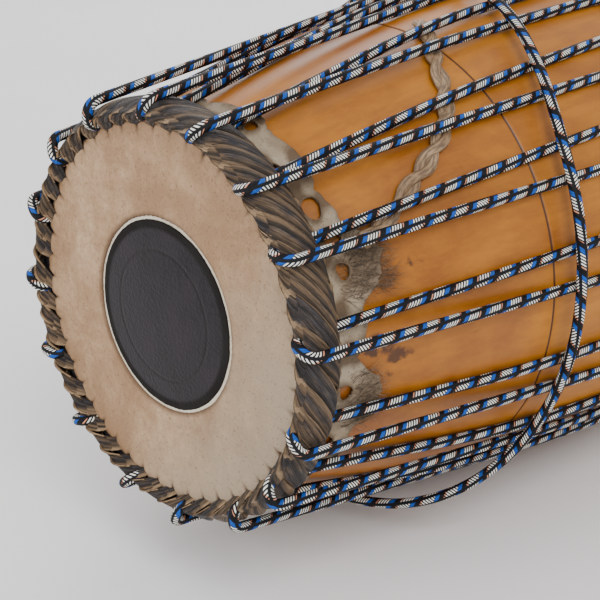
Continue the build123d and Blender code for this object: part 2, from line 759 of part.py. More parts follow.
def main():
    """Build every node, stand the drum on its lowest strands and write the files."""
    nodes = {
        "shell": shell(),
        "tuning_patch": tuning_patch(),
        "reed_slivers": reed_slivers(),
        "waist_cord": waist_cord(),
        "waist_knot": waist_knot(),
        "lacing_knot": lacing_knot(),
        "thong_tail": thong_tail(),
    }
    for end in (TREBLE, BASS):
        nodes[f"{end}_inner_ring_hide"] = inner_ring_hide(end)
        nodes[f"{end}_membrane"] = membrane(end)
        nodes[f"{end}_outer_ring_hide"] = outer_ring_hide(end)
        nodes[f"{end}_braid_core"] = braid_core(end)
        nodes[f"{end}_braid_thongs"] = braid_thongs(end)
    for index in range(LOOP_COUNT):
        nodes[f"lacing_run_{index + 1:02d}"] = lacing_run(index)

    lowest = min(
        shape.bounding_box().min.Z for name, shape in nodes.items() if name.startswith("lacing_run")
    )
    os.makedirs("parts", exist_ok=True)
    for name, shapes in nodes.items():
        pieces = shapes if isinstance(shapes, list) else [shapes]
        solids = [solid for piece in pieces for solid in piece.solids()]
        standing = [Pos(0, 0, -lowest) * solid for solid in solids]
        export_step(Compound(children=standing), f"parts/{name}.step")


main()
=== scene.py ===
import math
import random

import bpy
import numpy as np
from mathutils import Matrix, Vector, noise


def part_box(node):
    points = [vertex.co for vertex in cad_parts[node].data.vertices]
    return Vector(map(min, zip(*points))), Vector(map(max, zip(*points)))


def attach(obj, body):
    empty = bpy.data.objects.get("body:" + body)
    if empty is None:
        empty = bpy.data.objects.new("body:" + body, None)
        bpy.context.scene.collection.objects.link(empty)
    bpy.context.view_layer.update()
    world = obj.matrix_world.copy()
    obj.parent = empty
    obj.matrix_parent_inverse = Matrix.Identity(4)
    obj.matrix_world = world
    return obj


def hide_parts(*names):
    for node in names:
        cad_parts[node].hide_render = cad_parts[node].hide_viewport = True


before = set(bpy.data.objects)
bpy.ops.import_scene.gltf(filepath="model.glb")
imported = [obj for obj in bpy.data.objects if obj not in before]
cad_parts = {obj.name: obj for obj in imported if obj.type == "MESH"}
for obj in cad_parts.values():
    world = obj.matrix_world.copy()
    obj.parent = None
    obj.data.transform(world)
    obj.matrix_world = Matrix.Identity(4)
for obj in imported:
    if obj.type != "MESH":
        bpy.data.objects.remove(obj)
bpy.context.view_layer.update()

# The drum's driving sizes, in mm. A station is the distance from the treble playing face
# towards the bass one, a depth is the distance in from either face, and angles are in
# degrees about the drum's axis, from +Z towards +Y.
MM = 0.001
HEAD_TO_HEAD = 560.0
BELLY_STATION = 290.0
BELLY_RADIUS = 125.0
RIM_DEPTH = 2.75
RIM_RADIUS = {"treble": 80.0, "bass": 92.0}
RIM_WALL = {"treble": 13.0, "bass": 14.0}
BELLY_WALL = 17.0
TURNED_LINE_STATION = 132.0
WINDOW_RADIUS = {"treble": 44.6, "bass": 62.0}
HIDE_EDGE_MARGIN = 6.0
CORE_CROWN_RISE = 12.0
PATCH_RADIUS = 42.4
ROPE_RADIUS = 2.5
ROPE_LIFT = ROPE_RADIUS + 0.25
LOOP_REACH = 5.0
LOOP_SPREAD = 4.0
UNDER_RISE = 7.6
UNDER_BEND_DEPTH = 9.0
UNDER_BEND_RISE = 0.4
THONG_THICKNESS = 2.6
THONG_GAP = 0.1
THONG_WIDTH = 7.2
THONG_SLANT = 49.0
LOOP_CROWN_DROP = 0.7
OVER_RISE = CORE_CROWN_RISE + THONG_GAP + THONG_THICKNESS + ROPE_LIFT - LOOP_CROWN_DROP
TREBLE_LOOP_ANGLES = (1, 26, 48, 71, 94, 116, 139, 164, 187, 213, 232, 252, 278, 301, 320, 341)
BASS_LOOP_TURN = 2.0
LOOP_COUNT = len(TREBLE_LOOP_ANGLES)
THONG_COUNT = 48
THONG_PHASE = 4.0

# Waist cord and rawhide tail, as in the CAD source: angle, station and slack above the lacing
WAIST_ROUTE = (
    (56.5, 191, 4), (70, 182, 0), (85, 169, 0), (102, 154, 0), (121, 136, 0), (141, 118, 0),
    (160, 104, 0), (178, 95, 0), (194, 93, 2), (207, 99, 6), (217, 114, 7), (227, 128, 3),
    (241, 134, 0), (257, 136, 0), (274, 138, 0), (291, 141, 0), (307, 146, 0), (322, 158, 0),
    (338, 173, 0), (355, 185, 0), (373, 193, 0), (391, 196, 0), (409.5, 192, 4))
WAIST_SEAT = 0.6
WAIST_END_TUCK = 0.35
TAIL_ROUTE = (
    (298, 38), (301, 50), (304, 60), (307.5, 70), (311, 81), (315, 93), (321, 105),
    (328, 114), (335, 121), (343, 133), (351, 142))
STRIP_SEAT = 0.2
STRIP_THICKNESS = 2.4
STRIP_CROSSING_CLEARANCE = 1.0

shell_low, shell_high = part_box("shell")
AXIS_HEIGHT = (shell_low.z + shell_high.z) / 2 / MM
random.seed(7)
ENDS = ("treble", "bass")


# ------------------------------------------------------------------ places on the drum


def half_of(station):
    """End whose half of the shell holds a station."""
    return "treble" if station <= BELLY_STATION else "bass"


def arc_radius(end):
    """Radius of the shell's arc on one half."""
    to_face = BELLY_STATION if end == "treble" else HEAD_TO_HEAD - BELLY_STATION
    run = to_face - RIM_DEPTH
    rise = BELLY_RADIUS - RIM_RADIUS[end]
    return (run**2 + rise**2) / (2 * rise)


ARC = {end: arc_radius(end) for end in ENDS}


def shell_radius(station):
    """Outer radius of the shell at a station, or at each of an array of them."""
    station = np.asarray(station, float)
    bend = np.where(station <= BELLY_STATION, ARC["treble"], ARC["bass"])
    return BELLY_RADIUS - bend + np.sqrt(bend**2 - (station - BELLY_STATION) ** 2)


def station_of(end, depth):
    """Station of a depth measured in from one face."""
    return depth if end == "treble" else HEAD_TO_HEAD - depth


def place(station, radius, angle):
    """Points in metres at stations, radii and angles, as an array whose last axis is x, y, z."""
    turn = np.radians(np.asarray(angle, float))
    station, radius, turn = np.broadcast_arrays(station, radius, turn)
    x = station - HEAD_TO_HEAD / 2
    y = radius * np.sin(turn)
    z = AXIS_HEIGHT + radius * np.cos(turn)
    return np.stack([x, y, z], -1) * MM


def bass_loop_angle(index):
    """Angle of the bass loop between treble loops index and index + 1."""
    here = TREBLE_LOOP_ANGLES[index % LOOP_COUNT] + 360 * (index // LOOP_COUNT)
    after = index + 1
    there = TREBLE_LOOP_ANGLES[after % LOOP_COUNT] + 360 * (after // LOOP_COUNT)
    return (here + there) / 2 + BASS_LOOP_TURN


# ------------------------------------------------------------------ meshes


def grid_quads(rows, cols, wrap):
    """Quads of a grid of vertices, and each corner's (row, column) without wrapping."""
    row, col = np.meshgrid(np.arange(rows - 1), np.arange(cols if wrap else cols - 1), indexing="ij")
    row, col = row.ravel(), col.ravel()
    corners = np.stack(
        [np.stack([row + a, col + b], -1) for a, b in ((0, 0), (0, 1), (1, 1), (1, 0))], 1
    )
    faces = corners[..., 0] * cols + corners[..., 1] % cols
    return faces, corners


def make_piece(name, points, faces, material, uvs=None, tone=None):
    """Smooth mesh object that rides on the drum, with optional corner UVs and a tone per vertex."""
    mesh = bpy.data.meshes.new(name)
    mesh.from_pydata(np.asarray(points).reshape(-1, 3).tolist(), [], [list(map(int, f)) for f in faces])
    mesh.polygons.foreach_set("use_smooth", [True] * len(mesh.polygons))
    if uvs is not None:
        layer = mesh.uv_layers.new(name="lie")
        layer.data.foreach_set("uv", np.asarray(uvs, np.float32).ravel())
    if tone is not None:
        attribute = mesh.attributes.new("tone", "FLOAT", "POINT")
        attribute.data.foreach_set("value", np.asarray(tone, np.float32).ravel())
    mesh.update()
    piece = bpy.data.objects.new(name, mesh)
    bpy.context.scene.collection.objects.link(piece)
    mesh.materials.append(material)
    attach(piece, "root")
    return piece


def wobble(seed, first, second=0.0):
    """Smooth noise from -1 to 1 over one or two arrays of coordinates."""
    first, second = np.broadcast_arrays(first, second)
    values = [noise.noise(Vector((a, b, seed))) for a, b in zip(first.ravel(), second.ravel())]
    return np.array(values).reshape(first.shape)


def apart(angles, middle):
    """Signed degrees from a middle angle to each angle, within half a turn."""
    return (angles - middle + 180) % 360 - 180


def unit_rows(vectors):
    """Each row scaled to unit length."""
    return vectors / np.linalg.norm(vectors, axis=1)[:, None]


def run_lengths(points):
    """Distance along a line of points to each of them."""
    return np.append(0.0, np.cumsum(np.linalg.norm(np.diff(points, axis=0), axis=1)))


# ------------------------------------------------------------------ shader building


def feed(tree, socket, value):
    """Links an output into a socket, or sets the socket to a constant."""
    if isinstance(value, bpy.types.NodeSocket):
        tree.links.new(value, socket)
    else:
        socket.default_value = value


def add_node(tree, kind, settings=None, **inputs):
    """Adds a node, sets its properties, and feeds its inputs by name, or by number as i0, i1."""
    made = tree.nodes.new(kind)
    for key, value in (settings or {}).items():
        setattr(made, key, value)
    for key, value in inputs.items():
        numbered = key[0] == "i" and key[1:].isdigit()
        feed(tree, made.inputs[int(key[1:]) if numbered else key], value)
    return made


def maths(tree, operation, first, second=0.0, third=0.0):
    """Math node's result."""
    made = add_node(tree, "ShaderNodeMath", {"operation": operation}, i0=first, i1=second, i2=third)
    return made.outputs[0]


def ramp(tree, value, low, high, to_low=0.0, to_high=1.0):
    """Smooth step of a value between two limits."""
    made = add_node(tree, "ShaderNodeMapRange", {"interpolation_type": "SMOOTHSTEP", "clamp": True})
    tree.links.new(value, made.inputs["Value"])
    for key, number in (("From Min", low), ("From Max", high), ("To Min", to_low), ("To Max", to_high)):
        made.inputs[key].default_value = number
    return made.outputs["Result"]


def blend_colours(tree, factor, first, second):
    """Mix of two colours, each a constant or an output."""
    made = add_node(tree, "ShaderNodeMix", {"data_type": "RGBA"}, i0=factor)
    for index, colour in ((6, first), (7, second)):
        feed(tree, made.inputs[index], (*colour, 1.0) if isinstance(colour, tuple) else colour)
    return made.outputs[2]


def tint(tree, base, mask, share, colour):
    """A base with a share of a mask's colour laid over it."""
    return blend_colours(tree, maths(tree, "MULTIPLY", mask, share), base, colour)


def group_tree(name, inputs, outputs):
    """Empty shader group with named sockets, and its input and output nodes."""
    tree = bpy.data.node_groups.new(name, "ShaderNodeTree")
    for key, kind, value in inputs:
        socket = tree.interface.new_socket(key, in_out="INPUT", socket_type=kind)
        if value is not None:
            socket.default_value = value
    for key, kind in outputs:
        tree.interface.new_socket(key, in_out="OUTPUT", socket_type=kind)
    return tree, tree.nodes.new("NodeGroupInput"), tree.nodes.new("NodeGroupOutput")


FLOAT = "NodeSocketFloat"
COLOUR = "NodeSocketColor"
VECTOR = "NodeSocketVector"


def cloud_group():
    """Broad clouds, fine specks and a height, for hide, wood and paste."""
    tree, given, result = group_tree(
        "clouds_and_specks",
        (("Vector", VECTOR, None), ("Cloud Scale", FLOAT, 20.0), ("Speck Scale", FLOAT, 300.0)),
        (("Clouds", FLOAT), ("Specks", FLOAT), ("Height", FLOAT)),
    )
    where = given.outputs["Vector"]
    cloud = add_node(tree, "ShaderNodeTexNoise", Vector=where, Scale=given.outputs["Cloud Scale"], Detail=6.0,
                     Roughness=0.62, Distortion=0.3)
    speck = add_node(tree, "ShaderNodeTexNoise", Vector=where, Scale=given.outputs["Speck Scale"], Detail=3.0,
                     Roughness=0.7)
    clouds = ramp(tree, cloud.outputs["Fac"], 0.32, 0.68)
    specks = ramp(tree, speck.outputs["Fac"], 0.55, 0.75)
    height = maths(tree, "MULTIPLY_ADD", cloud.outputs["Fac"], 0.5, speck.outputs["Fac"])
    for value, key in ((clouds, "Clouds"), (specks, "Specks"), (height, "Height")):
        tree.links.new(value, result.inputs[key])
    return tree


def streak_group():
    """Streaks that run along one direction of a piece's own coordinates."""
    tree, given, result = group_tree(
        "long_streaks",
        (("Vector", VECTOR, None), ("Stretch", VECTOR, (1.0, 12.0, 1.0)), ("Scale", FLOAT, 1.0)),
        (("Streaks", FLOAT), ("Fine", FLOAT), ("Height", FLOAT)),
    )
    stretched = add_node(tree, "ShaderNodeVectorMath", {"operation": "MULTIPLY"},
                         i0=given.outputs["Vector"], i1=given.outputs["Stretch"])
    broad = add_node(tree, "ShaderNodeTexNoise", Vector=stretched.outputs[0], Scale=given.outputs["Scale"],
                     Detail=4.0, Roughness=0.6)
    finer = maths(tree, "MULTIPLY", given.outputs["Scale"], 3.7)
    fine = add_node(tree, "ShaderNodeTexNoise", Vector=stretched.outputs[0], Scale=finer, Detail=3.0,
                    Roughness=0.7)
    height = maths(tree, "ADD", broad.outputs["Fac"], fine.outputs["Fac"])
    for value, key in (
        (ramp(tree, broad.outputs["Fac"], 0.38, 0.62), "Streaks"),
        (ramp(tree, fine.outputs["Fac"], 0.42, 0.66), "Fine"),
        (height, "Height"),
    ):
        tree.links.new(value, result.inputs[key])
    return tree


# The rope's pattern: lengths in mm along it, and shares of a row, tick or period
BRAID_PERIOD = 12.5
BRAID_TWIST = 220.0
BRAID_ROWS = 4.0
BRAID_TICK = 1.45
BRAID_TICK_LEAN = 1.7
BRAID_BLOCK_SLANT = 0.25
BRAID_BLOCK_BLUR = 0.01
BRAID_ROW_EDGE = (0.24, 0.36)
BRAID_TICK_EDGE = (0.58, 0.88)
ROPE_BLACK = (0.004, 0.004, 0.006)
ROPE_WHITE = (0.86, 0.84, 0.78)
ROPE_BLUE = (0.006, 0.075, 0.36)
ROPE_SALMON = (0.55, 0.24, 0.14)
# Start and end share of a period, colour, and whether the fine ticks break the block up
BRAID_BLOCKS = (
    (0.0, 0.09, ROPE_SALMON, True),
    (0.09, 0.58, ROPE_WHITE, True),
    (0.59, 0.78, ROPE_BLUE, False),
)


def braid_group():
    """Colours and relief of the rope's braided cover, from mm along and the share around."""
    tree, given, result = group_tree(
        "braided_cover",
        (("Along", FLOAT, 0.0), ("Around", FLOAT, 0.0)),
        (("Color", COLOUR), ("Height", FLOAT)),
    )
    along = given.outputs["Along"]
    turned = maths(tree, "MULTIPLY_ADD", along, 1 / BRAID_TWIST, given.outputs["Around"])
    rows = maths(tree, "MULTIPLY", maths(tree, "FRACT", turned), BRAID_ROWS)
    row = maths(tree, "FRACT", rows)
    row_number = maths(tree, "FLOOR", rows)
    parity = maths(tree, "MODULO", row_number, 2.0)
    shift = maths(tree, "MULTIPLY", maths(tree, "ADD", row_number, row), BRAID_BLOCK_SLANT)
    phase = maths(tree, "FRACT", maths(tree, "MULTIPLY_ADD", along, 1 / BRAID_PERIOD, shift))
    from_middle = maths(tree, "ABSOLUTE", maths(tree, "SUBTRACT", row, 0.5))
    row_mask = ramp(tree, from_middle, *BRAID_ROW_EDGE, 1.0, 0.0)
    side = maths(tree, "MULTIPLY_ADD", parity, -2.0, 1.0)
    lean = maths(tree, "MULTIPLY", maths(tree, "MULTIPLY", row, BRAID_TICK_LEAN), side)
    tick = maths(tree, "FRACT", maths(tree, "MULTIPLY_ADD", along, 1 / BRAID_TICK, lean))
    tick_height = maths(tree, "SINE", maths(tree, "MULTIPLY", tick, math.pi))
    tick_mask = ramp(tree, tick_height, *BRAID_TICK_EDGE)
    lit = maths(tree, "MULTIPLY", row_mask, tick_mask)
    colour = ROPE_BLACK
    for low, high, shade, ticked in BRAID_BLOCKS:
        begun = ramp(tree, phase, low, low + BRAID_BLOCK_BLUR)
        unfinished = ramp(tree, phase, high, high + BRAID_BLOCK_BLUR, 1.0, 0.0)
        inside = maths(tree, "MULTIPLY", begun, unfinished)
        shown = maths(tree, "MULTIPLY", inside, lit if ticked else row_mask)
        colour = blend_colours(tree, shown, colour, shade)
    height = maths(tree, "MULTIPLY", row_mask, maths(tree, "POWER", tick_height, 0.5))
    tree.links.new(colour, result.inputs["Color"])
    tree.links.new(height, result.inputs["Height"])
    return tree


CLOUDS = cloud_group()
STREAKS = streak_group()
BRAID = braid_group()


def use_group(tree, group, **inputs):
    """Places a shader group in a material. Input names use _ for a space."""
    made = tree.nodes.new("ShaderNodeGroup")
    made.node_tree = group
    for key, value in inputs.items():
        feed(tree, made.inputs[key.replace("_", " ")], value)
    return made.outputs


def new_finish(name, **constants):
    """New material: its tree, its Principled shader and the object coordinates."""
    material = bpy.data.materials.new(name)
    material.use_nodes = True
    tree = material.node_tree
    shader = tree.nodes["Principled BSDF"]
    for key, value in constants.items():
        shader.inputs[key.replace("_", " ")].default_value = value
    where = add_node(tree, "ShaderNodeTexCoord")
    return material, tree, shader, where.outputs["Object"]


def raise_surface(tree, shader, height, strength, distance):
    """Bump from a height, over a distance in metres."""
    bump = add_node(tree, "ShaderNodeBump", Height=height, Strength=strength, Distance=distance)
    tree.links.new(bump.outputs["Normal"], shader.inputs["Normal"])


def axis_parts(tree, where):
    """The x, y and z of a coordinate."""
    parts = add_node(tree, "ShaderNodeSeparateXYZ", Vector=where)
    return parts.outputs["X"], parts.outputs["Y"], parts.outputs["Z"]


def own_tone(tree):
    """The tone stored on each vertex."""
    return add_node(tree, "ShaderNodeAttribute", {"attribute_name": "tone"}).outputs["Fac"]


def lie_parts(tree):
    """A piece's own flat coordinates, and their parts along and across it."""
    uv = add_node(tree, "ShaderNodeUVMap", {"uv_map": "lie"})
    along, across, _ = axis_parts(tree, uv.outputs["UV"])
    return uv.outputs["UV"], along, across


# ------------------------------------------------------------------ finishes


LACQUER_LIGHT = (0.44, 0.155, 0.007)
LACQUER_DEEP = (0.25, 0.073, 0.003)
LACQUER_GRAIN = (0.17, 0.045, 0.003)
LACQUER_STAIN_AND_SHADE = (0.035, 0.01, 0.004)
PASTE_BLACK = (0.005, 0.0035, 0.0045)
PASTE_SHEEN = (0.016, 0.0115, 0.016)
PASTE_DUST = (0.045, 0.04, 0.045)
PASTE_EDGE = (0.006, 0.0042, 0.0036)
LEATHER_BLACK = (0.009, 0.0075, 0.0075)
LEATHER_BROWN = (0.2, 0.125, 0.07)
LEATHER_SLATE = (0.026, 0.028, 0.042)
LEATHER_WORN = (0.22, 0.155, 0.1)
LEATHER_CUT = (0.36, 0.235, 0.13)
RAWHIDE_TAN = (0.37, 0.245, 0.14)
RAWHIDE_BROWN = (0.25, 0.15, 0.075)
RAWHIDE_DARK = (0.07, 0.042, 0.025)
RING_PALE = (0.56, 0.385, 0.235)
RING_DEEP = (0.29, 0.165, 0.085)
RING_DARK = (0.09, 0.045, 0.022)
RING_GREY = (0.33, 0.265, 0.19)
SKIN_PALE = (0.82, 0.77, 0.66)
SKIN_DEEP = (0.68, 0.6, 0.46)
SKIN_DARK = (0.2, 0.13, 0.08)
FLAP_PALE = (0.5, 0.43, 0.33)
FLAP_DEEP = (0.3, 0.23, 0.155)
FLAP_DARK = (0.085, 0.05, 0.027)
HAIR_LIGHT = (0.33, 0.22, 0.13)
HAIR_DARK = (0.05, 0.035, 0.025)
REED_LIGHT = (0.6, 0.47, 0.24)
REED_DARK = (0.3, 0.2, 0.09)
FLOOR_PALE = (0.9, 0.9, 0.9)
FLOOR_SHADE = (0.87, 0.87, 0.87)
CREASE_TURNS = 5.5 * math.pi
PASTE_RING_SHARE = 0.7
PASTE_RING_PITCH = 3.4


def lacquered_wood():
    """Amber lacquer over turned wood: faint grain, clouds, worn stains and a dark turned line of painted
    shade in its groove.
    """
    material, tree, shader, where = new_finish("lacquered_wood", Roughness=0.42, Coat_Weight=0.06,
                                               Coat_Roughness=0.3, Specular_IOR_Level=0.36)
    cloud = use_group(tree, CLOUDS, Vector=where, Cloud_Scale=14.0, Speck_Scale=420.0)
    grain = use_group(tree, STREAKS, Vector=where, Stretch=(3.0, 30.0, 30.0), Scale=6.0)
    base = blend_colours(tree, cloud["Clouds"], LACQUER_DEEP, LACQUER_LIGHT)
    base = tint(tree, base, grain["Streaks"], 0.28, LACQUER_GRAIN)
    base = tint(tree, base, grain["Fine"], 0.16, LACQUER_LIGHT)
    stain = own_tone(tree)
    patchy = use_group(tree, CLOUDS, Vector=where, Cloud_Scale=130.0, Speck_Scale=600.0)
    wear_and_groove_shade = maths(tree, "MULTIPLY", stain, maths(tree, "MULTIPLY_ADD", patchy["Clouds"], 1.1, 0.25))
    base = blend_colours(tree, ramp(tree, wear_and_groove_shade, 0.22, 0.6, 0.0, 0.85), base, LACQUER_STAIN_AND_SHADE)
    # painted shade: the turned line's groove is darkened with the stain colour
    x, _, _ = axis_parts(tree, where)
    line_at = (TURNED_LINE_STATION - HEAD_TO_HEAD / 2) * MM
    from_line = maths(tree, "ABSOLUTE", maths(tree, "SUBTRACT", x, line_at))
    line = ramp(tree, from_line, 0.35 * MM, 0.8 * MM, 0.92, 0.0)
    base = blend_colours(tree, line, base, LACQUER_STAIN_AND_SHADE)
    tree.links.new(base, shader.inputs["Base Color"])
    rough = maths(tree, "MULTIPLY_ADD", cloud["Clouds"], 0.16, 0.36)
    tree.links.new(rough, shader.inputs["Roughness"])
    raise_surface(tree, shader, cloud["Height"], 0.12, 0.3 * MM)
    return material


def mottled_hide(name, pale, deep, dark, cloud_scale, roughness, shine=0.25, grey_side=None):
    """Dried hide: broad mottling, dark specks and fine fibre relief, darkened by its own tone."""
    material, tree, shader, where = new_finish(name, Roughness=roughness, Specular_IOR_Level=shine)
    cloud = use_group(tree, CLOUDS, Vector=where, Cloud_Scale=cloud_scale, Speck_Scale=850.0)
    broad = use_group(tree, CLOUDS, Vector=where, Cloud_Scale=cloud_scale / 3, Speck_Scale=260.0)
    fine = use_group(tree, CLOUDS, Vector=where, Cloud_Scale=cloud_scale * 8, Speck_Scale=420.0)
    base = blend_colours(tree, cloud["Clouds"], pale, deep)
    base = tint(tree, base, broad["Clouds"], 0.6, deep)
    base = tint(tree, base, fine["Clouds"], 0.5, deep)
    base = tint(tree, base, fine["Specks"], 0.35, dark)
    # the hide turns greyer towards -y and towards the bottom, past a ragged boundary
    if grey_side:
        _, y, z = axis_parts(tree, where)
        minus_y_and_down = maths(tree, "ADD", maths(tree, "MULTIPLY", y, -1.0), maths(tree, "MULTIPLY", z, -0.8))
        ragged = maths(tree, "MULTIPLY_ADD", broad["Clouds"], 40 * MM, minus_y_and_down)
        base = blend_colours(tree, ramp(tree, ragged, -75 * MM, 25 * MM, 0.0, 0.85), base, grey_side)
    base = tint(tree, base, cloud["Specks"], 0.75, dark)
    base = tint(tree, base, broad["Specks"], 0.2, pale)
    base = blend_colours(tree, own_tone(tree), base, dark)
    tree.links.new(base, shader.inputs["Base Color"])
    raise_surface(tree, shader, cloud["Height"], 0.5, 0.4 * MM)
    return material


def black_paste():
    """Burnished black paste: leathery pebbles, painted sheen in lighter clouds, faint rings, a line of
    painted shade at the ring's step, and a matt edge.
    """
    material, tree, shader, where = new_finish("black_paste", Roughness=0.4, Specular_IOR_Level=0.2)
    pebble = add_node(tree, "ShaderNodeTexVoronoi", {"feature": "SMOOTH_F1"}, Vector=where, Scale=760.0)
    cloud = use_group(tree, CLOUDS, Vector=where, Cloud_Scale=60.0, Speck_Scale=900.0)
    _, y, z = axis_parts(tree, where)
    up = maths(tree, "SUBTRACT", z, AXIS_HEIGHT * MM)
    squares = maths(tree, "ADD", maths(tree, "MULTIPLY", y, y), maths(tree, "MULTIPLY", up, up))
    radius = maths(tree, "SQRT", squares)
    rings = maths(tree, "SINE", maths(tree, "MULTIPLY", radius, 2 * math.pi / (PASTE_RING_PITCH * MM)))
    # painted sheen: lighter sheen-coloured clouds over the black stand in for the paste's soft sheen
    base = blend_colours(tree, cloud["Clouds"], PASTE_BLACK, PASTE_SHEEN)
    base = tint(tree, base, cloud["Specks"], 0.25, PASTE_DUST)
    # painted shade: a dark line along the ring's step, in the edge colour
    groove_shade_radius = PASTE_RING_SHARE * PATCH_RADIUS * MM
    ring_at = maths(tree, "ABSOLUTE", maths(tree, "SUBTRACT", radius, groove_shade_radius))
    wear_and_groove_shade = ramp(tree, ring_at, 0.3 * MM, 1.1 * MM, 0.7, 0.0)
    base = blend_colours(tree, wear_and_groove_shade, base, PASTE_EDGE)
    edge = ramp(tree, radius, (PATCH_RADIUS - 4.5) * MM, (PATCH_RADIUS - 2.2) * MM)
    base = blend_colours(tree, edge, base, PASTE_EDGE)
    tree.links.new(base, shader.inputs["Base Color"])
    rough = maths(tree, "MULTIPLY_ADD", edge, 0.35, maths(tree, "MULTIPLY_ADD", cloud["Clouds"], 0.12, 0.36))
    tree.links.new(rough, shader.inputs["Roughness"])
    low = maths(tree, "MULTIPLY_ADD", rings, 0.03, pebble.outputs["Distance"])
    raise_surface(tree, shader, low, 0.55, 0.3 * MM)
    return material


def thong_leather():
    """Dark leather thongs with long streaks along them, painted shade in their creases, and tan cut edges."""
    material, tree, shader, where = new_finish("thong_leather", Roughness=0.5, Specular_IOR_Level=0.3)
    uv, _, across = lie_parts(tree)
    streak = use_group(tree, STREAKS, Vector=uv, Stretch=(0.014, 2.2, 1.0), Scale=4.0)
    cloud = use_group(tree, CLOUDS, Vector=where, Cloud_Scale=55.0, Speck_Scale=600.0)
    to_edge = maths(tree, "ABSOLUTE", maths(tree, "SUBTRACT", across, 0.5))
    bare = maths(tree, "MULTIPLY_ADD", own_tone(tree), 0.55, -0.3)
    bare = maths(tree, "MULTIPLY_ADD", cloud["Clouds"], 0.35, bare)
    middle = maths(tree, "SUBTRACT", 1.0, ramp(tree, maths(tree, "ADD", to_edge, bare), 0.12, 0.42))
    base = blend_colours(tree, middle, LEATHER_BROWN, LEATHER_SLATE)
    base = tint(tree, base, streak["Streaks"], 0.8, LEATHER_BLACK)
    base = tint(tree, base, streak["Fine"], 0.5, LEATHER_WORN)
    # painted shade: the crease troughs are darkened with leather black
    turns = maths(tree, "MULTIPLY", across, CREASE_TURNS)
    creases = maths(tree, "SINE", maths(tree, "MULTIPLY_ADD", streak["Streaks"], 2.0, turns))
    base = blend_colours(tree, ramp(tree, creases, -0.95, -0.3, 0.8, 0.0), base, LEATHER_BLACK)
    frayed = maths(tree, "MULTIPLY_ADD", streak["Fine"], 0.5, 0.5)
    edge = maths(tree, "MULTIPLY", ramp(tree, to_edge, 0.38, 0.46), frayed)
    base = blend_colours(tree, edge, base, LEATHER_CUT)
    tree.links.new(base, shader.inputs["Base Color"])
    raise_surface(tree, shader, maths(tree, "MULTIPLY_ADD", creases, 0.45, streak["Height"]), 1.0, 0.9 * MM)
    return material


def braided_rope():
    """Braided synthetic rope: black ground with blocks of pale, blue and salmon yarn."""
    material, tree, shader, _ = new_finish("braided_rope", Roughness=0.6, Specular_IOR_Level=0.18)
    _, along, around = lie_parts(tree)
    cover = use_group(tree, BRAID, Along=along, Around=around)
    tree.links.new(cover["Color"], shader.inputs["Base Color"])
    raise_surface(tree, shader, cover["Height"], 0.7, 0.5 * MM)
    return material


def dried_rawhide():
    """Twisted rawhide: tan and brown streaks along each ply."""
    material, tree, shader, where = new_finish("dried_rawhide", Roughness=0.5, Specular_IOR_Level=0.4)
    uv, _, _ = lie_parts(tree)
    streak = use_group(tree, STREAKS, Vector=uv, Stretch=(0.06, 5.0, 1.0), Scale=3.0)
    cloud = use_group(tree, CLOUDS, Vector=where, Cloud_Scale=80.0, Speck_Scale=700.0)
    base = blend_colours(tree, cloud["Clouds"], RAWHIDE_TAN, RAWHIDE_BROWN)
    base = tint(tree, base, streak["Streaks"], 0.8, RAWHIDE_DARK)
    tree.links.new(base, shader.inputs["Base Color"])
    raise_surface(tree, shader, streak["Height"], 0.5, 0.4 * MM)
    return material


def plain_fibre(name, first, second, roughness):
    """Small plain fibre parts: hair and split reed, varied by their own tone."""
    material, tree, shader, where = new_finish(name, Roughness=roughness)
    streak = use_group(tree, STREAKS, Vector=where, Stretch=(1.0, 1.0, 1.0), Scale=240.0)
    base = blend_colours(tree, streak["Fine"], first, second)
    base = blend_colours(tree, own_tone(tree), base, second)
    tree.links.new(base, shader.inputs["Base Color"])
    return material


def studio_floor():
    """Pale matt studio floor with a trace of unevenness."""
    material, tree, shader, where = new_finish("studio_floor", Roughness=0.9)
    cloud = use_group(tree, CLOUDS, Vector=where, Cloud_Scale=3.0, Speck_Scale=60.0)
    base = blend_colours(tree, cloud["Clouds"], FLOOR_PALE, FLOOR_SHADE)
    tree.links.new(base, shader.inputs["Base Color"])
    return material


WOOD = lacquered_wood()
PASTE = black_paste()
LEATHER = thong_leather()
ROPE = braided_rope()
RAWHIDE = dried_rawhide()
RING_HIDE = mottled_hide("ring_hide", RING_PALE, RING_DEEP, RING_DARK, 34.0, 0.6, 0.25, RING_GREY)
SKIN_HIDE = mottled_hide("membrane_hide", SKIN_PALE, SKIN_DEEP, SKIN_DARK, 26.0, 0.5)
FLAP_HIDE = mottled_hide("flap_hide", FLAP_PALE, FLAP_DEEP, FLAP_DARK, 60.0, 0.7, 0.15)
CORE_LEATHER = plain_fibre("core_leather", LEATHER_BLACK, LEATHER_SLATE, 0.7)
HAIR = plain_fibre("coarse_hair", HAIR_LIGHT, HAIR_DARK, 0.6)
REED = plain_fibre("split_reed", REED_LIGHT, REED_DARK, 0.55)


# ------------------------------------------------------------------ cords

# A bend takes up a share of the shorter run beside it, and a loop's end a share of its width
RUN_FILLET_SHARE = 0.45
LOOP_FILLET_SHARE = 0.47
ROPE_SIDES = 12


def arc_reach(points, share):
    """How far from each inner corner a bend starts: the share of the shorter run beside it."""
    runs = [(b - a).length for a, b in zip(points, points[1:])]
    return [share * min(run_in, run_out) for run_in, run_out in zip(runs, runs[1:])]


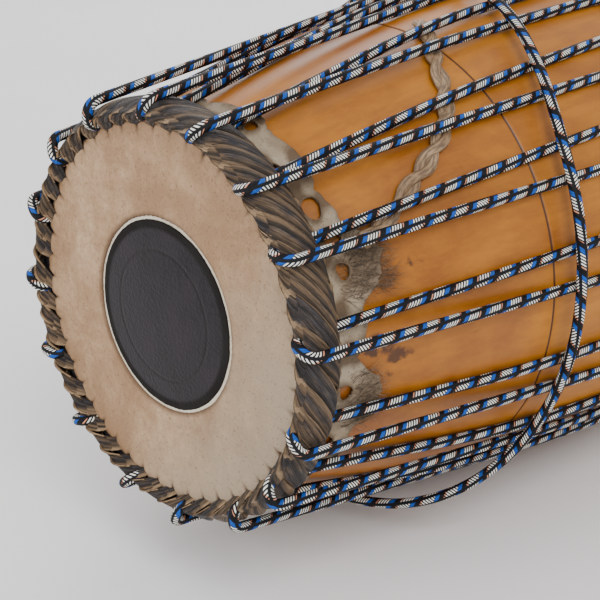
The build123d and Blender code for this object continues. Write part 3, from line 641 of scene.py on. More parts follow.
def with_helpers(points, reaches):
    """Corners plus helper points, so that a quadratic spline keeps its straights straight."""
    ends = [0.0, *reaches, 0.0]
    route = [points[0]]
    for index, (start, finish) in enumerate(zip(points, points[1:])):
        run = finish - start
        before, after = 2 * ends[index], 2 * ends[index + 1]
        if before + after < run.length:
            if before > 0:
                route.append(start + run * (before / run.length))
            if after > 0:
                route.append(start + run * (1 - after / run.length))
        elif 0 < before < run.length / 2:
            route.append(start + run * (before / run.length))
        elif 0 < after < run.length / 2:
            route.append(start + run * (1 - after / run.length))
        route.append(finish)
    return route


def spline_through(name, route, steps):
    """Points along a smooth curve whose control points are the route."""
    data = bpy.data.curves.new(name, "CURVE")
    data.dimensions = "3D"
    data.resolution_u = steps
    spline = data.splines.new("NURBS")
    spline.points.add(len(route) - 1)
    for point, place_here in zip(spline.points, route):
        point.co = (*place_here, 1.0)
    spline.order_u = 3
    spline.use_endpoint_u = True
    holder = bpy.data.objects.new(name, data)
    line = bpy.data.meshes.new_from_object(holder)
    points = np.array([vertex.co for vertex in line.vertices])
    bpy.data.objects.remove(holder)
    bpy.data.curves.remove(data)
    bpy.data.meshes.remove(line)
    keep = np.append(True, np.linalg.norm(np.diff(points, axis=0), axis=1) > 1e-6)
    return points[keep]


def travelling_frames(line):
    """Unit tangent, side and rise at each point of a line, turning as little as possible."""
    tangents = unit_rows(np.gradient(line, axis=0))
    side = Vector(tangents[0]).orthogonal().normalized()
    sides = [side]
    for before, after in zip(tangents, tangents[1:]):
        turn = Vector(before).rotation_difference(Vector(after))
        side = turn @ sides[-1]
        side -= Vector(after) * side.dot(Vector(after))
        sides.append(side.normalized())
    sides = np.array(sides)
    return tangents, sides, np.cross(tangents, sides)


def length_along(line):
    """Distance along a line to each of its points, in mm."""
    return run_lengths(line) / MM


def tube_surface(line, radius, around, frames=None, flat=1.0):
    """Points, faces and UVs of a tube; flat squashes it along the frame's rise."""
    tangents, sides, rises = frames or travelling_frames(line)
    turn = np.linspace(0, 2 * math.pi, around, endpoint=False)
    radius = np.broadcast_to(np.asarray(radius, float), (len(line),))[:, None, None] * MM
    ring = np.cos(turn)[None, :, None] * sides[:, None] + flat * np.sin(turn)[None, :, None] * rises[:, None]
    points = line[:, None] + radius * ring
    faces, corners = grid_quads(len(line), around, True)
    uvs = np.stack([length_along(line)[corners[..., 0]], corners[..., 1] / around], -1)
    return points.reshape(-1, 3), faces, uvs


def join_surfaces(surfaces):
    """One set of points, faces and UVs from several."""
    points, faces, uvs, start = [], [], [], 0
    for part_points, part_faces, part_uvs in surfaces:
        points.append(part_points)
        faces.append(np.asarray(part_faces) + start)
        uvs.append(np.asarray(part_uvs).reshape(-1, 2))
        start += len(part_points)
    return np.concatenate(points), np.concatenate(faces), np.concatenate(uvs)


def capped(line, radius):
    """Tube with rounded ends."""
    tangents, _, _ = travelling_frames(line)
    steps = np.linspace(0, math.pi / 2, 5)
    out = [line[0] - tangents[0] * radius * MM * math.cos(step) for step in steps[:-1]]
    back = [line[-1] + tangents[-1] * radius * MM * math.cos(step) for step in steps[-2::-1]]
    full = np.concatenate([out, line, back])
    shrink = np.concatenate([np.sin(steps[:-1]), np.ones(len(line)), np.sin(steps[-2::-1])])
    return tube_surface(full, radius * np.maximum(shrink, 0.03), ROPE_SIDES)


# ------------------------------------------------------------------ the lacing's corners


def point(station, radius, angle):
    """Point in metres at a station, radius and angle."""
    return Vector(place(station, radius, angle))


def tangent_station(end, station, radius, lift, towards_belly=True):
    """Station where a straight line from a point outside touches the shell raised by the lift."""
    bend = ARC[end] + lift
    centre_radius = BELLY_RADIUS + lift - bend
    along = abs(station - BELLY_STATION)
    up = radius - centre_radius
    swing = math.acos(min(1.0, bend / math.hypot(along, up)))
    lean = math.atan2(along, up) - (swing if towards_belly else -swing)
    side = -1 if end == "treble" else 1
    return BELLY_STATION + side * bend * math.sin(lean)


def tangent_crossing(station_a, station_b, lift):
    """Station and radius where the tangents at two stations of the raised shell meet."""
    lines = []
    for station in (station_a, station_b):
        bend = ARC[half_of(station)] + lift
        lean = math.asin((station - BELLY_STATION) / bend)
        radius = BELLY_RADIUS + lift - bend + bend * math.cos(lean)
        lines.append((station, radius, -math.tan(lean)))
    (s1, r1, m1), (s2, r2, m2) = lines
    crossing = (r2 - r1 + m1 * s1 - m2 * s2) / (m1 - m2)
    return crossing, r1 + m1 * (crossing - s1)


def over_end(end, angle):
    """Station, radius and angle of the loop's corner over the braid, outside the face."""
    return station_of(end, -LOOP_REACH), RIM_RADIUS[end] + OVER_RISE, angle - LOOP_SPREAD / 2


def under_end(end, angle):
    """Station, radius and angle of the bend where a strand comes out from under the braid."""
    radius = RIM_RADIUS[end] + UNDER_RISE + UNDER_BEND_RISE
    return station_of(end, UNDER_BEND_DEPTH), radius, angle + LOOP_SPREAD / 2


def loop_ends(end, angle):
    """The bend under the braid, then the loop's under and over corners outside the face."""
    lower = point(station_of(end, -LOOP_REACH), RIM_RADIUS[end] + UNDER_RISE, angle + LOOP_SPREAD / 2)
    return point(*under_end(end, angle)), lower, point(*over_end(end, angle))


def strip_crossing(angle_at):
    """Station where a lacing strand passes over the rawhide tail, or None."""
    for (angle_a, station_a), (angle_b, station_b) in zip(TAIL_ROUTE, TAIL_ROUTE[1:]):
        gap_a = apart(angle_a, angle_at(station_a))
        gap_b = apart(angle_b, angle_at(station_b))
        if gap_a * gap_b < 0 and abs(gap_a - gap_b) < 90:
            return station_a + (station_b - station_a) * gap_a / (gap_a - gap_b)
    return None


def strand_corners(treble_point, bass_point):
    """Corners of a tight strand over the barrel between its two ends."""
    station_t, radius_t, angle_t = treble_point
    station_b, radius_b, angle_b = bass_point

    def angle_at(station):
        return angle_t + (angle_b - angle_t) * (station - station_t) / (station_b - station_t)

    corners = []
    touch_t = tangent_station("treble", station_t, radius_t, ROPE_LIFT)
    crossing = strip_crossing(angle_at)
    if crossing is not None:
        over_strip = STRIP_SEAT + STRIP_THICKNESS + STRIP_CROSSING_CLEARANCE + ROPE_RADIUS
        crest = float(shell_radius(crossing)) + over_strip
        slope = (float(shell_radius(touch_t)) + ROPE_LIFT - radius_t) / (touch_t - station_t)
        if crossing > touch_t or crest > radius_t + slope * (crossing - station_t):
            leave = tangent_station("treble", crossing, crest, ROPE_LIFT, towards_belly=False)
            if leave > touch_t:
                station, radius = tangent_crossing(touch_t, leave, ROPE_LIFT)
                corners.append(point(station, radius, angle_at(station)))
            corners.append(point(crossing, crest, angle_at(crossing)))
            touch_t = tangent_station("treble", crossing, crest, ROPE_LIFT)
    touch_b = tangent_station("bass", station_b, radius_b, ROPE_LIFT)
    touches = [
        touch_t,
        (touch_t + BELLY_STATION) / 2,
        BELLY_STATION,
        (touch_b + BELLY_STATION) / 2,
        touch_b,
    ]
    for near, far in zip(touches, touches[1:]):
        station, radius = tangent_crossing(near, far, ROPE_LIFT)
        corners.append(point(station, radius, angle_at(station)))
    return corners


def lacing_route():
    """Corners of the whole lacing rope, from one bass loop round all the others and back to it."""
    route = []
    reaches = []

    def bend(corner, share):
        route.append(corner)
        reaches.append(share)

    for index in range(LOOP_COUNT):
        treble_angle = TREBLE_LOOP_ANGLES[index]
        angle_in, angle_out = bass_loop_angle(index - 1), bass_loop_angle(index)
        low_in, under_in, _ = loop_ends("bass", angle_in)
        low_t, under_t, over_t = loop_ends("treble", treble_angle)
        over_out = loop_ends("bass", angle_out)[2]
        coming = strand_corners(over_end("treble", treble_angle), under_end("bass", angle_in))
        going = strand_corners(under_end("treble", treble_angle), over_end("bass", angle_out))
        across = LOOP_FILLET_SHARE * (over_t - under_t).length
        bend(under_in, across)
        bend(low_in, None)
        for corner in reversed(coming):
            bend(corner, None)
        bend(over_t, across)
        bend(under_t, across)
        bend(low_t, None)
        for corner in going:
            bend(corner, None)
        bend(over_out, across)
    first = (loop_ends("bass", bass_loop_angle(-1))[2] + route[0]) / 2
    last = (route[-1] + loop_ends("bass", bass_loop_angle(LOOP_COUNT - 1))[1]) / 2
    points = [first, *route, last]
    spans = arc_reach(points, RUN_FILLET_SHARE)
    return points, [span if given is None else given for span, given in zip(spans, reaches)]


def lacing_rope():
    """The whole lacing as one rope."""
    corners, reaches = lacing_route()
    line = spline_through("lacing_rope_line", with_helpers(corners, reaches), 9)
    points, faces, uvs = tube_surface(line, ROPE_RADIUS, ROPE_SIDES)
    rope = make_piece("lacing_rope", points, faces, ROPE, uvs)
    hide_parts(*[f"lacing_run_{index + 1:02d}" for index in range(LOOP_COUNT)])


def lacing_top(station):
    """Outer radius of the highest lacing strands at a station."""
    end = half_of(station)
    depth = station if end == "treble" else HEAD_TO_HEAD - station
    start = RIM_RADIUS[end] + OVER_RISE
    touch = tangent_station(end, station_of(end, -LOOP_REACH), start, ROPE_LIFT)
    touch_depth = touch if end == "treble" else HEAD_TO_HEAD - touch
    if depth < touch_depth:
        share = (depth + LOOP_REACH) / (touch_depth + LOOP_REACH)
        return start + (float(shell_radius(touch)) + ROPE_LIFT - start) * share + ROPE_RADIUS
    return float(shell_radius(station)) + ROPE_LIFT + ROPE_RADIUS


def stretched(angles, index):
    """How far out a corner stands so that the runs beside it clear a round body."""
    beside = [abs(angles[k + 1] - angles[k]) for k in (index - 1, index) if 0 <= k < len(angles) - 1]
    return 1 / math.cos(math.radians(max(beside)) / 2)


def waist_corners():
    """Corners of the waist cord."""
    angles = [angle for angle, _, _ in WAIST_ROUTE]
    corners = []
    for index, (angle, station, slack) in enumerate(WAIST_ROUTE):
        radius = lacing_top(station) + WAIST_SEAT + ROPE_RADIUS + slack
        corners.append(point(station, radius * stretched(angles, index), angle))
    return corners


def waist_cord():
    """Cord tied once round the body, with its ends drawn into its knot."""
    corners = waist_corners()
    knot_at = (corners[0] + corners[-1]) / 2
    route = with_helpers(corners, arc_reach(corners, RUN_FILLET_SHARE))
    route = [route[0].lerp(knot_at, WAIST_END_TUCK), *route, route[-1].lerp(knot_at, WAIST_END_TUCK)]
    line = spline_through("waist_cord_line", route, 12)
    points, faces, uvs = capped(line, ROPE_RADIUS)
    cord = make_piece("waist_cord_tied", points, faces, ROPE, uvs)
    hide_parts("waist_cord")
    return knot_at, (corners[0] - corners[-1]).normalized()


KNOT_RADIUS = 6.2
KNOT_WIRE = 2.1
KNOT_STEPS = 20
KNOT_END_GAP = 1.0
WAIST_KNOT_TURNS = 4
LACING_KNOT_TURNS = 3
LACING_KNOT_LENGTH = 12.6
LACING_KNOT_DEPTH = 33.0
KNOT_STUB_LENGTH = 13.0
KNOT_STUB_SPLAY = 35.0
STUB_SHARE = 0.96
STUB_BEND = 1.2


def coil_line(centre, direction, turns, length, radius):
    """Helix of touching turns round a line."""
    across = direction.orthogonal().normalized()
    rise = direction.cross(across)
    line = []
    for step in range(turns * KNOT_STEPS + 1):
        turn = 2 * math.pi * step / KNOT_STEPS
        along = (step / (turns * KNOT_STEPS) - 0.5) * length * MM
        lean = across * math.cos(turn) + rise * math.sin(turn)
        line.append(centre + direction * along + lean * radius * MM)
    return np.array(line)


def knot(name, node, centre, direction, turns, length, stubs):
    """Pulled knot: touching turns of the rope round itself, with its cut ends standing out."""
    wound = coil_line(centre, direction, turns, length - 2 * KNOT_WIRE, KNOT_RADIUS - KNOT_WIRE)
    surfaces = [capped(wound, KNOT_WIRE)]
    for start, finish in stubs:
        bent = start.lerp(finish, 0.5) + (finish - start).orthogonal().normalized() * STUB_BEND * MM
        line = spline_through("stub_line", [start, bent, finish], 8)
        surfaces.append(capped(line, ROPE_RADIUS * STUB_SHARE))
    points, faces, uvs = join_surfaces(surfaces)
    piece = make_piece(name, points, faces, ROPE, uvs)
    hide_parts(node)


def waist_knot(centre, direction):
    """Knot on the far upper side where the waist cord's ends meet."""
    outward = (centre - Vector((centre.x, 0, AXIS_HEIGHT * MM))).normalized()
    stubs = []
    for side in (-1, 1):
        lean = Vector((side * math.sin(math.radians(KNOT_STUB_SPLAY)), 0, 0))
        along = lean + outward * math.cos(math.radians(KNOT_STUB_SPLAY))
        start = centre + direction * (side * ROPE_RADIUS * MM)
        stubs.append((start, start + along * (KNOT_STUB_LENGTH - 1) * MM))
    corners = waist_corners()
    length = (corners[0] - corners[-1]).length / MM - 2 * KNOT_END_GAP
    knot("waist_cord_knot", "waist_knot", centre, direction, WAIST_KNOT_TURNS, length, stubs)


def lacing_knot():
    """Barrel knot of the rope's two ends round the last strand, just before its bass loop."""
    angle_t = TREBLE_LOOP_ANGLES[-1] + LOOP_SPREAD / 2
    angle_b = bass_loop_angle(LOOP_COUNT - 1) - LOOP_SPREAD / 2
    station = station_of("bass", LACING_KNOT_DEPTH)
    share = (station - UNDER_BEND_DEPTH) / (HEAD_TO_HEAD + LOOP_REACH - UNDER_BEND_DEPTH)
    angle = angle_t + (angle_b - angle_t) * share
    start = RIM_RADIUS["bass"] + OVER_RISE
    touch = tangent_station("bass", HEAD_TO_HEAD + LOOP_REACH, start, ROPE_LIFT)
    end_height = float(shell_radius(touch)) + ROPE_LIFT
    slope = (start - end_height) / (HEAD_TO_HEAD + LOOP_REACH - touch)
    height = end_height + slope * (station - touch)
    centre = point(station, height, angle)
    ahead = point(station + 1, height + slope, angle + (angle_b - angle_t) / HEAD_TO_HEAD)
    direction = (ahead - centre).normalized()
    knot("lacing_rope_knot", "lacing_knot", centre, direction, LACING_KNOT_TURNS, LACING_KNOT_LENGTH, [])


# ------------------------------------------------------------------ shell


def lathe(profile, around):
    """Points and faces of (station, radius) rows turned about the drum's axis."""
    profile = np.asarray(profile, float)
    angles = np.linspace(0, 360, around, endpoint=False)
    points = place(profile[:, 0][:, None], profile[:, 1][:, None], angles[None])
    faces, _ = grid_quads(len(profile), around, True)
    return points, faces, angles


# The turned line's groove and the low lips beside it
GROOVE_DEPTH = 0.5
GROOVE_WIDTH = 0.55
LIP_RISE = 0.08
LIP_OFFSET = 1.3
LIP_WIDTH = 0.4
# Worn spots: station, angle, half length in mm, half width in degrees, and depth of colour
STAINS = (
    (40, -89, 9, 3.5, 0.9), (50, -93, 7, 2.5, 0.8), (61, -70, 5, 2.2, 0.7), (47, -97, 8, 2, 0.6),
    (46, -44, 6, 2, 0.4), (88, -91, 5, 1.2, 0.35), (119, -64, 7, 1.5, 0.3), (210, 40, 18, 3, 0.4),
    (300, 120, 12, 3, 0.35), (430, -60, 16, 2.5, 0.4), (520, 200, 10, 6, 0.8), (505, 60, 8, 5, 0.7),
    (515, -20, 8, 4, 0.7), (90, 150, 12, 3, 0.5), (45, 60, 7, 5, 0.7), (42, 200, 7, 6, 0.8),
)


def shell_stain(stations, angles):
    """How far worn brown stains darken the lacquer at stations and angles."""
    stain = np.zeros(np.broadcast(stations, angles).shape)
    for station, angle, length, width, depth in STAINS:
        away = apart(angles, angle)
        near = np.exp(-(((stations - station) / length) ** 2) - (away / width) ** 2)
        stain = np.maximum(stain, depth * near)
    return stain


def shell():
    """Hollow turned barrel with rounded bores and one turned line."""
    first, last = RIM_DEPTH, HEAD_TO_HEAD - RIM_DEPTH
    stations = np.unique(np.concatenate([
        np.linspace(first, last, 181),
        TURNED_LINE_STATION + np.array([-1.6, -1.0, -0.7, -0.35, 0, 0.35, 0.7, 1.0, 1.6]),
    ]))
    from_line = stations - TURNED_LINE_STATION
    groove = GROOVE_DEPTH * np.exp(-((from_line / GROOVE_WIDTH) ** 2))
    lip = LIP_RISE * np.exp(-(((np.abs(from_line) - LIP_OFFSET) / LIP_WIDTH) ** 2))
    outer = np.stack([stations, shell_radius(stations) - groove + lip], -1)
    inner = []
    for station in np.linspace(last, first, 61):
        end = half_of(station)
        face = first if end == "treble" else last
        share = abs(station - BELLY_STATION) / abs(face - BELLY_STATION)
        wall = BELLY_WALL + (RIM_WALL[end] - BELLY_WALL) * share**2
        inner.append((station, float(shell_radius(station)) - wall))
    profile = np.concatenate([outer, inner, outer[:1]])
    points, faces, angles = lathe(profile, 288)
    tone = shell_stain(profile[:, 0][:, None], angles[None])
    body = make_piece("turned_shell", points, faces, WOOD, tone=tone)
    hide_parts("shell")


# ------------------------------------------------------------------ heads


SKIN_SINK = 1.4
SKIN_LIFT = 1.3
SKIN_EDGE_DEPTH = 12.0
SKIN_SLACK = 0.25
SLOT_ALONG = 2.5
SLOT_DEPTH = 3.6
SLOT_HALF_WIDTH = 0.2
RING_SHARES = (0, 0.012, 0.03, 0.06, 0.12, 0.2, 0.3, 0.4, 0.5, 0.6, 0.7, 0.8, 0.88, 0.94, 0.98, 1.0)
# Depths of the hide ring's rows that turn down at its window and at its rim, and of its back
RING_TURNED_ROWS = {0: 1.25, 1: 0.75, -2: 0.5, -1: 1.2}
RING_BACK_DEPTH = 1.32
PATCH_SEAT = 1.45
PATCH_EDGE_HEIGHT = 0.5
PATCH_CROWN_HEIGHT = 1.9


def membrane(end, name):
    """Thin playing skin with a faint slackness, over the whole opening and down under the braid."""
    depth = RIM_DEPTH - SKIN_SINK
    rows = [0.0, *np.linspace(4, RIM_RADIUS[end], 34)]
    profile = [(station_of(end, depth), max(radius, 0.01)) for radius in rows]
    edge = float(shell_radius(station_of(end, SKIN_EDGE_DEPTH)))
    profile.append((station_of(end, RIM_DEPTH), RIM_RADIUS[end] + SKIN_LIFT))
    profile.append((station_of(end, SKIN_EDGE_DEPTH), edge + SKIN_LIFT))
    points, faces, _ = lathe(profile, 160)
    side = -1 if end == "treble" else 1
    radii = np.array([radius for _, radius in profile])[:, None]
    swell = wobble(3, points[..., 1] * 22, points[..., 2] * 22)
    flat = np.clip((RIM_RADIUS[end] - radii) / 20, 0, 1)
    points[..., 0] += side * swell * flat * SKIN_SLACK * MM
    tone = np.clip((radii - WINDOW_RADIUS[end] + 0.3) / 0.6, 0, 1) * 0.7
    tone = np.broadcast_to(tone, swell.shape)
    skin = make_piece(name, points, faces, SKIN_HIDE, tone=tone)
    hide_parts(f"{end}_membrane")


def ring_slots(end, angles):
    """1 at the middle of each thong's slot in the outer ring and 0 between the slots."""
    front = fold_turn(end, SLOT_ALONG, THONG_PHASE, math.tan(math.radians(THONG_SLANT)))
    share = ((angles - front) * THONG_COUNT / 360 + 0.5) % 1.0
    return np.clip(1 - np.abs(share - 0.5) / SLOT_HALF_WIDTH, 0, 1)


def ring_edge(end, angles):
    """Ragged outer edge radius of the outer ring, drawn in at every thong's slot."""
    slot = ring_slots(end, angles)
    ragged = wobble(11 if end == "treble" else 12, angles * 0.35)
    return RIM_RADIUS[end] + HIDE_EDGE_MARGIN + 0.7 + 1.1 * ragged - SLOT_DEPTH * slot


def outer_ring(end, name):
    """Outer hide ring: a flat sheet with a turned-down window edge and a ragged slotted rim."""
    angles = np.linspace(0, 360, 1152, endpoint=False)
    outer = ring_edge(end, angles)
    window = WINDOW_RADIUS[end] - 0.35 + 0.4 * wobble(5, angles * 0.06) + 0.25 * wobble(6, angles * 0.5)
    radii = window[None] + (outer - window)[None] * np.array(RING_SHARES)[:, None]
    bumps = wobble(8, radii * 0.045, angles * 0.05)
    depth = 0.35 + 0.3 * bumps
    for row, turned in RING_TURNED_ROWS.items():
        depth[row] = turned
    points = place(station_of(end, depth), radii, angles[None])
    back = place(station_of(end, np.full_like(radii, RING_BACK_DEPTH)), radii[::-1], angles[None])
    points = np.concatenate([points, back])
    faces, _ = grid_quads(len(points), len(angles), True)
    near_window = np.clip(1 - (radii - window) / 3.0, 0, 1)
    near_rim = np.clip(1 - (outer - radii) / 5.0, 0, 1)
    darkness = np.clip(0.5 + 0.8 * wobble(9, angles * 0.21), 0.05, 1)
    tone = near_window**1.4 + 0.35 * near_rim**2 + ring_slots(end, angles) * darkness * near_rim**0.6
    tone = np.concatenate([tone, tone[::-1]])
    ring = make_piece(name, points, faces, RING_HIDE, tone=tone)
    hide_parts(f"{end}_outer_ring_hide")


def tuning_patch():
    """Low dome of burnished paste with shallow turned rings."""
    base = RIM_DEPTH - PATCH_SEAT
    rise = PATCH_CROWN_HEIGHT - PATCH_EDGE_HEIGHT
    bend = (PATCH_RADIUS**2 + rise**2) / (2 * rise)
    profile = [(base, PATCH_RADIUS - 0.1)]
    for radius in np.linspace(PATCH_RADIUS, 0.01, 90):
        height = PATCH_CROWN_HEIGHT - bend + math.sqrt(bend**2 - radius**2)
        step = 0.16 * math.exp(-(((radius / PATCH_RADIUS - PASTE_RING_SHARE) / 0.012) ** 2))
        edge = 0.25 * math.exp(-(((PATCH_RADIUS - radius) / 0.5) ** 2))
        profile.append((base - height + step + edge, radius))
    points, faces, angles = lathe(profile, 220)
    radii = np.array([radius for _, radius in profile])[:, None]
    ragged = 0.35 * wobble(21, angles * 0.09) + 0.2 * wobble(22, angles * 0.5)
    near_edge = np.clip((radii - PATCH_RADIUS + 3) / 3, 0, 1)
    stations = np.array(profile)[:, 0][:, None]
    points = place(stations, radii + ragged[None] * near_edge + 0.5 * near_edge, angles[None])
    patch = make_piece("paste_patch", points, faces, PASTE)
    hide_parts("tuning_patch")


# ------------------------------------------------------------------ plaited rims


# Distance along a fold to its middle, and its tilt, arch, body and sink under the path
FOLD_MIDDLE = 20.0
FOLD_TILT = 1.35
FOLD_ARCH = 2.2
FOLD_BODY = 1.0
FOLD_SINK = 1.8


def thong_path(end, steps):
    """(depth, radius) points once over the braid's crown, and the distance along to each."""
    crown = RIM_RADIUS[end] + CORE_CROWN_RISE
    corners = [
        (2.2, crown - 9.0), (-1.0, crown - 7.2), (-2.9, crown - 4.4), (-2.9, crown - 0.8),
        (0.8, crown + 2.2), (6.0, crown + 2.8), (12.0, crown + 2.3), (17.0, crown - 0.4),
        (18.0, crown - 4.4), (16.4, crown - 7.2)]
    given = np.array(corners, float)
    knots = run_lengths(given)
    at = np.linspace(0, knots[-1], steps)
    coarse = np.stack([np.interp(at, knots, given[:, k]) for k in (0, 1)], -1)
    for _ in range(3):
        coarse[1:-1] = 0.25 * coarse[:-2] + 0.5 * coarse[1:-1] + 0.25 * coarse[2:]
    return coarse, at


def fold_turn(end, along, middle, slant):
    """Angles along a fold that winds round the core from its middle."""
    return middle - np.degrees(slant * (along - FOLD_MIDDLE) / (RIM_RADIUS[end] + CORE_CROWN_RISE))


def raised_fold(end, path, normals, lift, turn):
    """Points of a fold's face, raised off the path along its normals."""
    depths = path[:, 0][:, None] + normals[:, 0][:, None] * -lift
    radii = path[:, 1][:, None] + normals[:, 1][:, None] * lift
    return place(station_of(end, depths), radii, turn)


def braid(end, name):
    """Overlapping leaf-like folds of dark thong, each rising over the next one."""
    path, along = thong_path(end, 34)
    normals = unit_rows(np.stack([-np.gradient(path[:, 1]), np.gradient(path[:, 0])], -1))
    across = np.linspace(-1, 1, 11)
    arch = FOLD_ARCH * (1 - across**2) ** 0.6
    share = np.linspace(0, 1, len(along))
    leaf = 0.48 + 0.7 * np.clip(np.sin(np.pi * np.clip(share * 1.02 - 0.01, 0, 1)), 0, 1) ** 0.6
    crown = RIM_RADIUS[end] + CORE_CROWN_RISE
    swelling = np.sin(np.pi * share)[:, None]
    surfaces = []
    tones = []
    for index in range(THONG_COUNT):
        slant = math.tan(math.radians(THONG_SLANT + random.uniform(-3, 3)))
        width = THONG_WIDTH * random.uniform(1.08, 1.26) / math.cos(math.radians(THONG_SLANT))
        middle = index * 360 / THONG_COUNT + THONG_PHASE + random.uniform(-0.7, 0.7)
        turn = fold_turn(end, along, middle, slant)
        turn = turn[:, None] + np.degrees(across[None] * (width * leaf)[:, None] / 2 / crown)
        tilt = random.uniform(0.5, 1.0)
        lift = (FOLD_TILT * tilt * across)[None] * swelling + arch[None] - FOLD_SINK
        lift += random.uniform(-0.2, 0.25) * swelling
        low_lift = np.minimum(lift - FOLD_BODY, -FOLD_SINK)
        top = raised_fold(end, path, normals, lift, turn)
        low = raised_fold(end, path, normals, low_lift, turn)
        points = np.concatenate([top, low[:, ::-1]], 1)
        faces, corners = grid_quads(len(along), points.shape[1], True)
        v = np.concatenate([(across + 1) / 2, (1 - across) / 2])
        uvs = np.stack([along[corners[..., 0]] + 40 * index, v[corners[..., 1] % len(v)]], -1)
        surfaces.append((points.reshape(-1, 3), faces, uvs))
        tones.append(np.full(points.shape[0] * points.shape[1], random.uniform(0.0, 0.8)))
    points, faces, uvs = join_surfaces(surfaces)
    folds = make_piece(name, points, faces, LEATHER, uvs, np.concatenate(tones))
    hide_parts(f"{end}_braid_thongs")


# ------------------------------------------------------------------ flaps, hair and tail


FLAP_HOLE_COUNT = 16
# Torn tongues of each flap: middle angle, half spread in degrees, and extra depth
FLAP_TONGUES = {
    "treble": ((-66, 8, 15), (-104, 9, 9), (112, 10, 8), (-19, 6, 3)),
    "bass": ((-60, 9, 8), (50, 9, 6), (150, 12, 7)),
}
FLAP_START = 3.0
FLAP_HALF_THICKNESS = 0.45
# How far the hide is drawn to a hole's edge from outside it and from inside it
HOLE_DRAW_OUT = 0.45
HOLE_DRAW_IN = 0.75
HOLE_LIP_RISE = 1.5
HOLE_SIZES = (3.2, 4.6)


def tongue(angles, middle, spread):
    """1 at the middle of a torn tongue and 0 beyond its spread."""
    return np.exp(-((apart(angles, middle) / spread) ** 4))


def flap_edge(end, angles):
    """Depth of the flap's ragged scalloped edge at each angle."""
    seed = 31 if end == "treble" else 32
    uneven = 0.3 * wobble(seed, angles * 0.03)
    scallop = np.abs(np.sin(np.radians(angles) * FLAP_HOLE_COUNT / 2 + uneven))
    broad = wobble(seed + 2, angles * 0.03)
    fine = wobble(seed + 4, angles * 0.3)
    edge = 28.0 + 5.0 * scallop**0.6 + 3.5 * broad + 1.1 * fine
    for middle, spread, more in FLAP_TONGUES[end]:
        torn = 1 + 0.35 * wobble(seed + 6, angles * 0.5)
        edge = edge + more * tongue(angles, middle, spread) * torn
    return edge


def flap_holes(end):
    """(depth, angle, radius) of the large round holes through the flap."""
    seen = []
    angles = range(0, 358, 18)
    if end == "treble":
        seen = [(18, -17, 4.2), (27, -19, 3.0), (18, -35, 4.6),
                (24.5, -49, 4.4), (27, -58, 3.4), (27, -67, 3.2)]
        angles = range(5, 262, 17)
    rest = [(23 + random.uniform(-3, 3), angle, random.uniform(*HOLE_SIZES)) for angle in angles]
    return [*seen, *rest]


def flap(end, name):
    """Thin inner hide from under the head out over the shell, with curled holes and a torn edge."""
    rows, cols = 46, 900
    angles = np.linspace(0, 360, cols, endpoint=False)
    edge = flap_edge(end, angles)
    depths = FLAP_START + np.linspace(0, 1, rows)[:, None] * (edge - FLAP_START)[None]
    turns = np.broadcast_to(angles[None], depths.shape).copy()
    radii = shell_radius(station_of(end, depths))
    raised = 0.65 + 0.25 * wobble(41, depths * 0.08, turns * 0.06)
    near_edge = np.clip(1 - (edge[None] - depths) / 3.0, 0, 1)
    raised += near_edge**2 * (0.7 + 0.7 * wobble(43, turns * 0.11))
    dirt = np.clip(0.3 + 2.4 * wobble(45, depths * 0.11, turns * 0.12), 0, 0.85)
    for middle, spread, more in FLAP_TONGUES[end]:
        if more > 6:
            outside = np.clip((depths - 26) / 8, 0, 1)
            dirt = np.maximum(dirt, 0.7 * tongue(turns, middle, spread) * outside)
    tone = np.maximum(0.55 * near_edge**2, dirt)
    gone = np.zeros(depths.shape, bool)
    for depth, angle, size in flap_holes(end):
        aside = apart(turns, angle) * math.pi / 180 * radii
        along = depths - depth
        distance = np.hypot(aside, along)
        bearing = np.arctan2(along, aside)
        hole = size * (1 + 0.1 * np.sin(2 * bearing + angle) + 0.07 * np.sin(3 * bearing - angle))
        close = (distance < hole + HOLE_DRAW_OUT) & (distance > hole - HOLE_DRAW_IN)
        pull = np.where(close, hole / np.maximum(distance, 0.01), 1.0)
        turns = np.where(close, angle + aside * pull / radii * 180 / math.pi, turns)
        depths = np.where(close, depth + along * pull, depths)
        gone |= distance < hole - HOLE_DRAW_IN
        raised += HOLE_LIP_RISE * np.exp(-(((distance - hole) / 1.1) ** 2))
        # painted shade: the hide is darkened round each hole's curled lip
        tone = np.maximum(tone, 0.85 * np.exp(-(((distance - hole) / 1.5) ** 2)))
    under = np.maximum(raised - FLAP_HALF_THICKNESS, 0.06)
    top = place(station_of(end, depths), radii + raised + FLAP_HALF_THICKNESS, turns)
    low = place(station_of(end, depths), radii + under, turns)
    faces, _ = grid_quads(rows, cols, True)
    kept = faces[~gone.ravel()[faces].any(1)]
    points = np.concatenate([top.reshape(-1, 3), low.reshape(-1, 3)])
    size = rows * cols
    ordered = np.stack([kept, np.roll(kept, -1, 1)], -1).reshape(-1, 2)
    _, first, count = np.unique(np.sort(ordered, -1), axis=0, return_index=True, return_counts=True)
    rim = ordered[first[count == 1]]
    walls = np.stack([rim[:, 1], rim[:, 0], rim[:, 0] + size, rim[:, 1] + size], -1)
    all_faces = np.concatenate([kept, kept[:, ::-1] + size, walls])
    used, numbers = np.unique(all_faces, return_inverse=True)
    both = np.concatenate([tone.ravel(), tone.ravel()])
    piece = make_piece(name, points[used], numbers.reshape(-1, 4), FLAP_HIDE, tone=both[used])
    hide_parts(f"{end}_inner_ring_hide")


# Patches of hair: end, lowest and highest angle, least and greatest depth
HAIR_PATCHES = (
    ("treble", -75, -59, 24, 46), ("treble", -75, -59, 30, 48), ("treble", -113, -95, 26, 40),
    ("treble", 100, 128, 26, 38), ("bass", -70, -50, 24, 36), ("bass", 40, 60, 26, 38))
HAIR_COUNT = 1500
HAIR_STEPS = 4


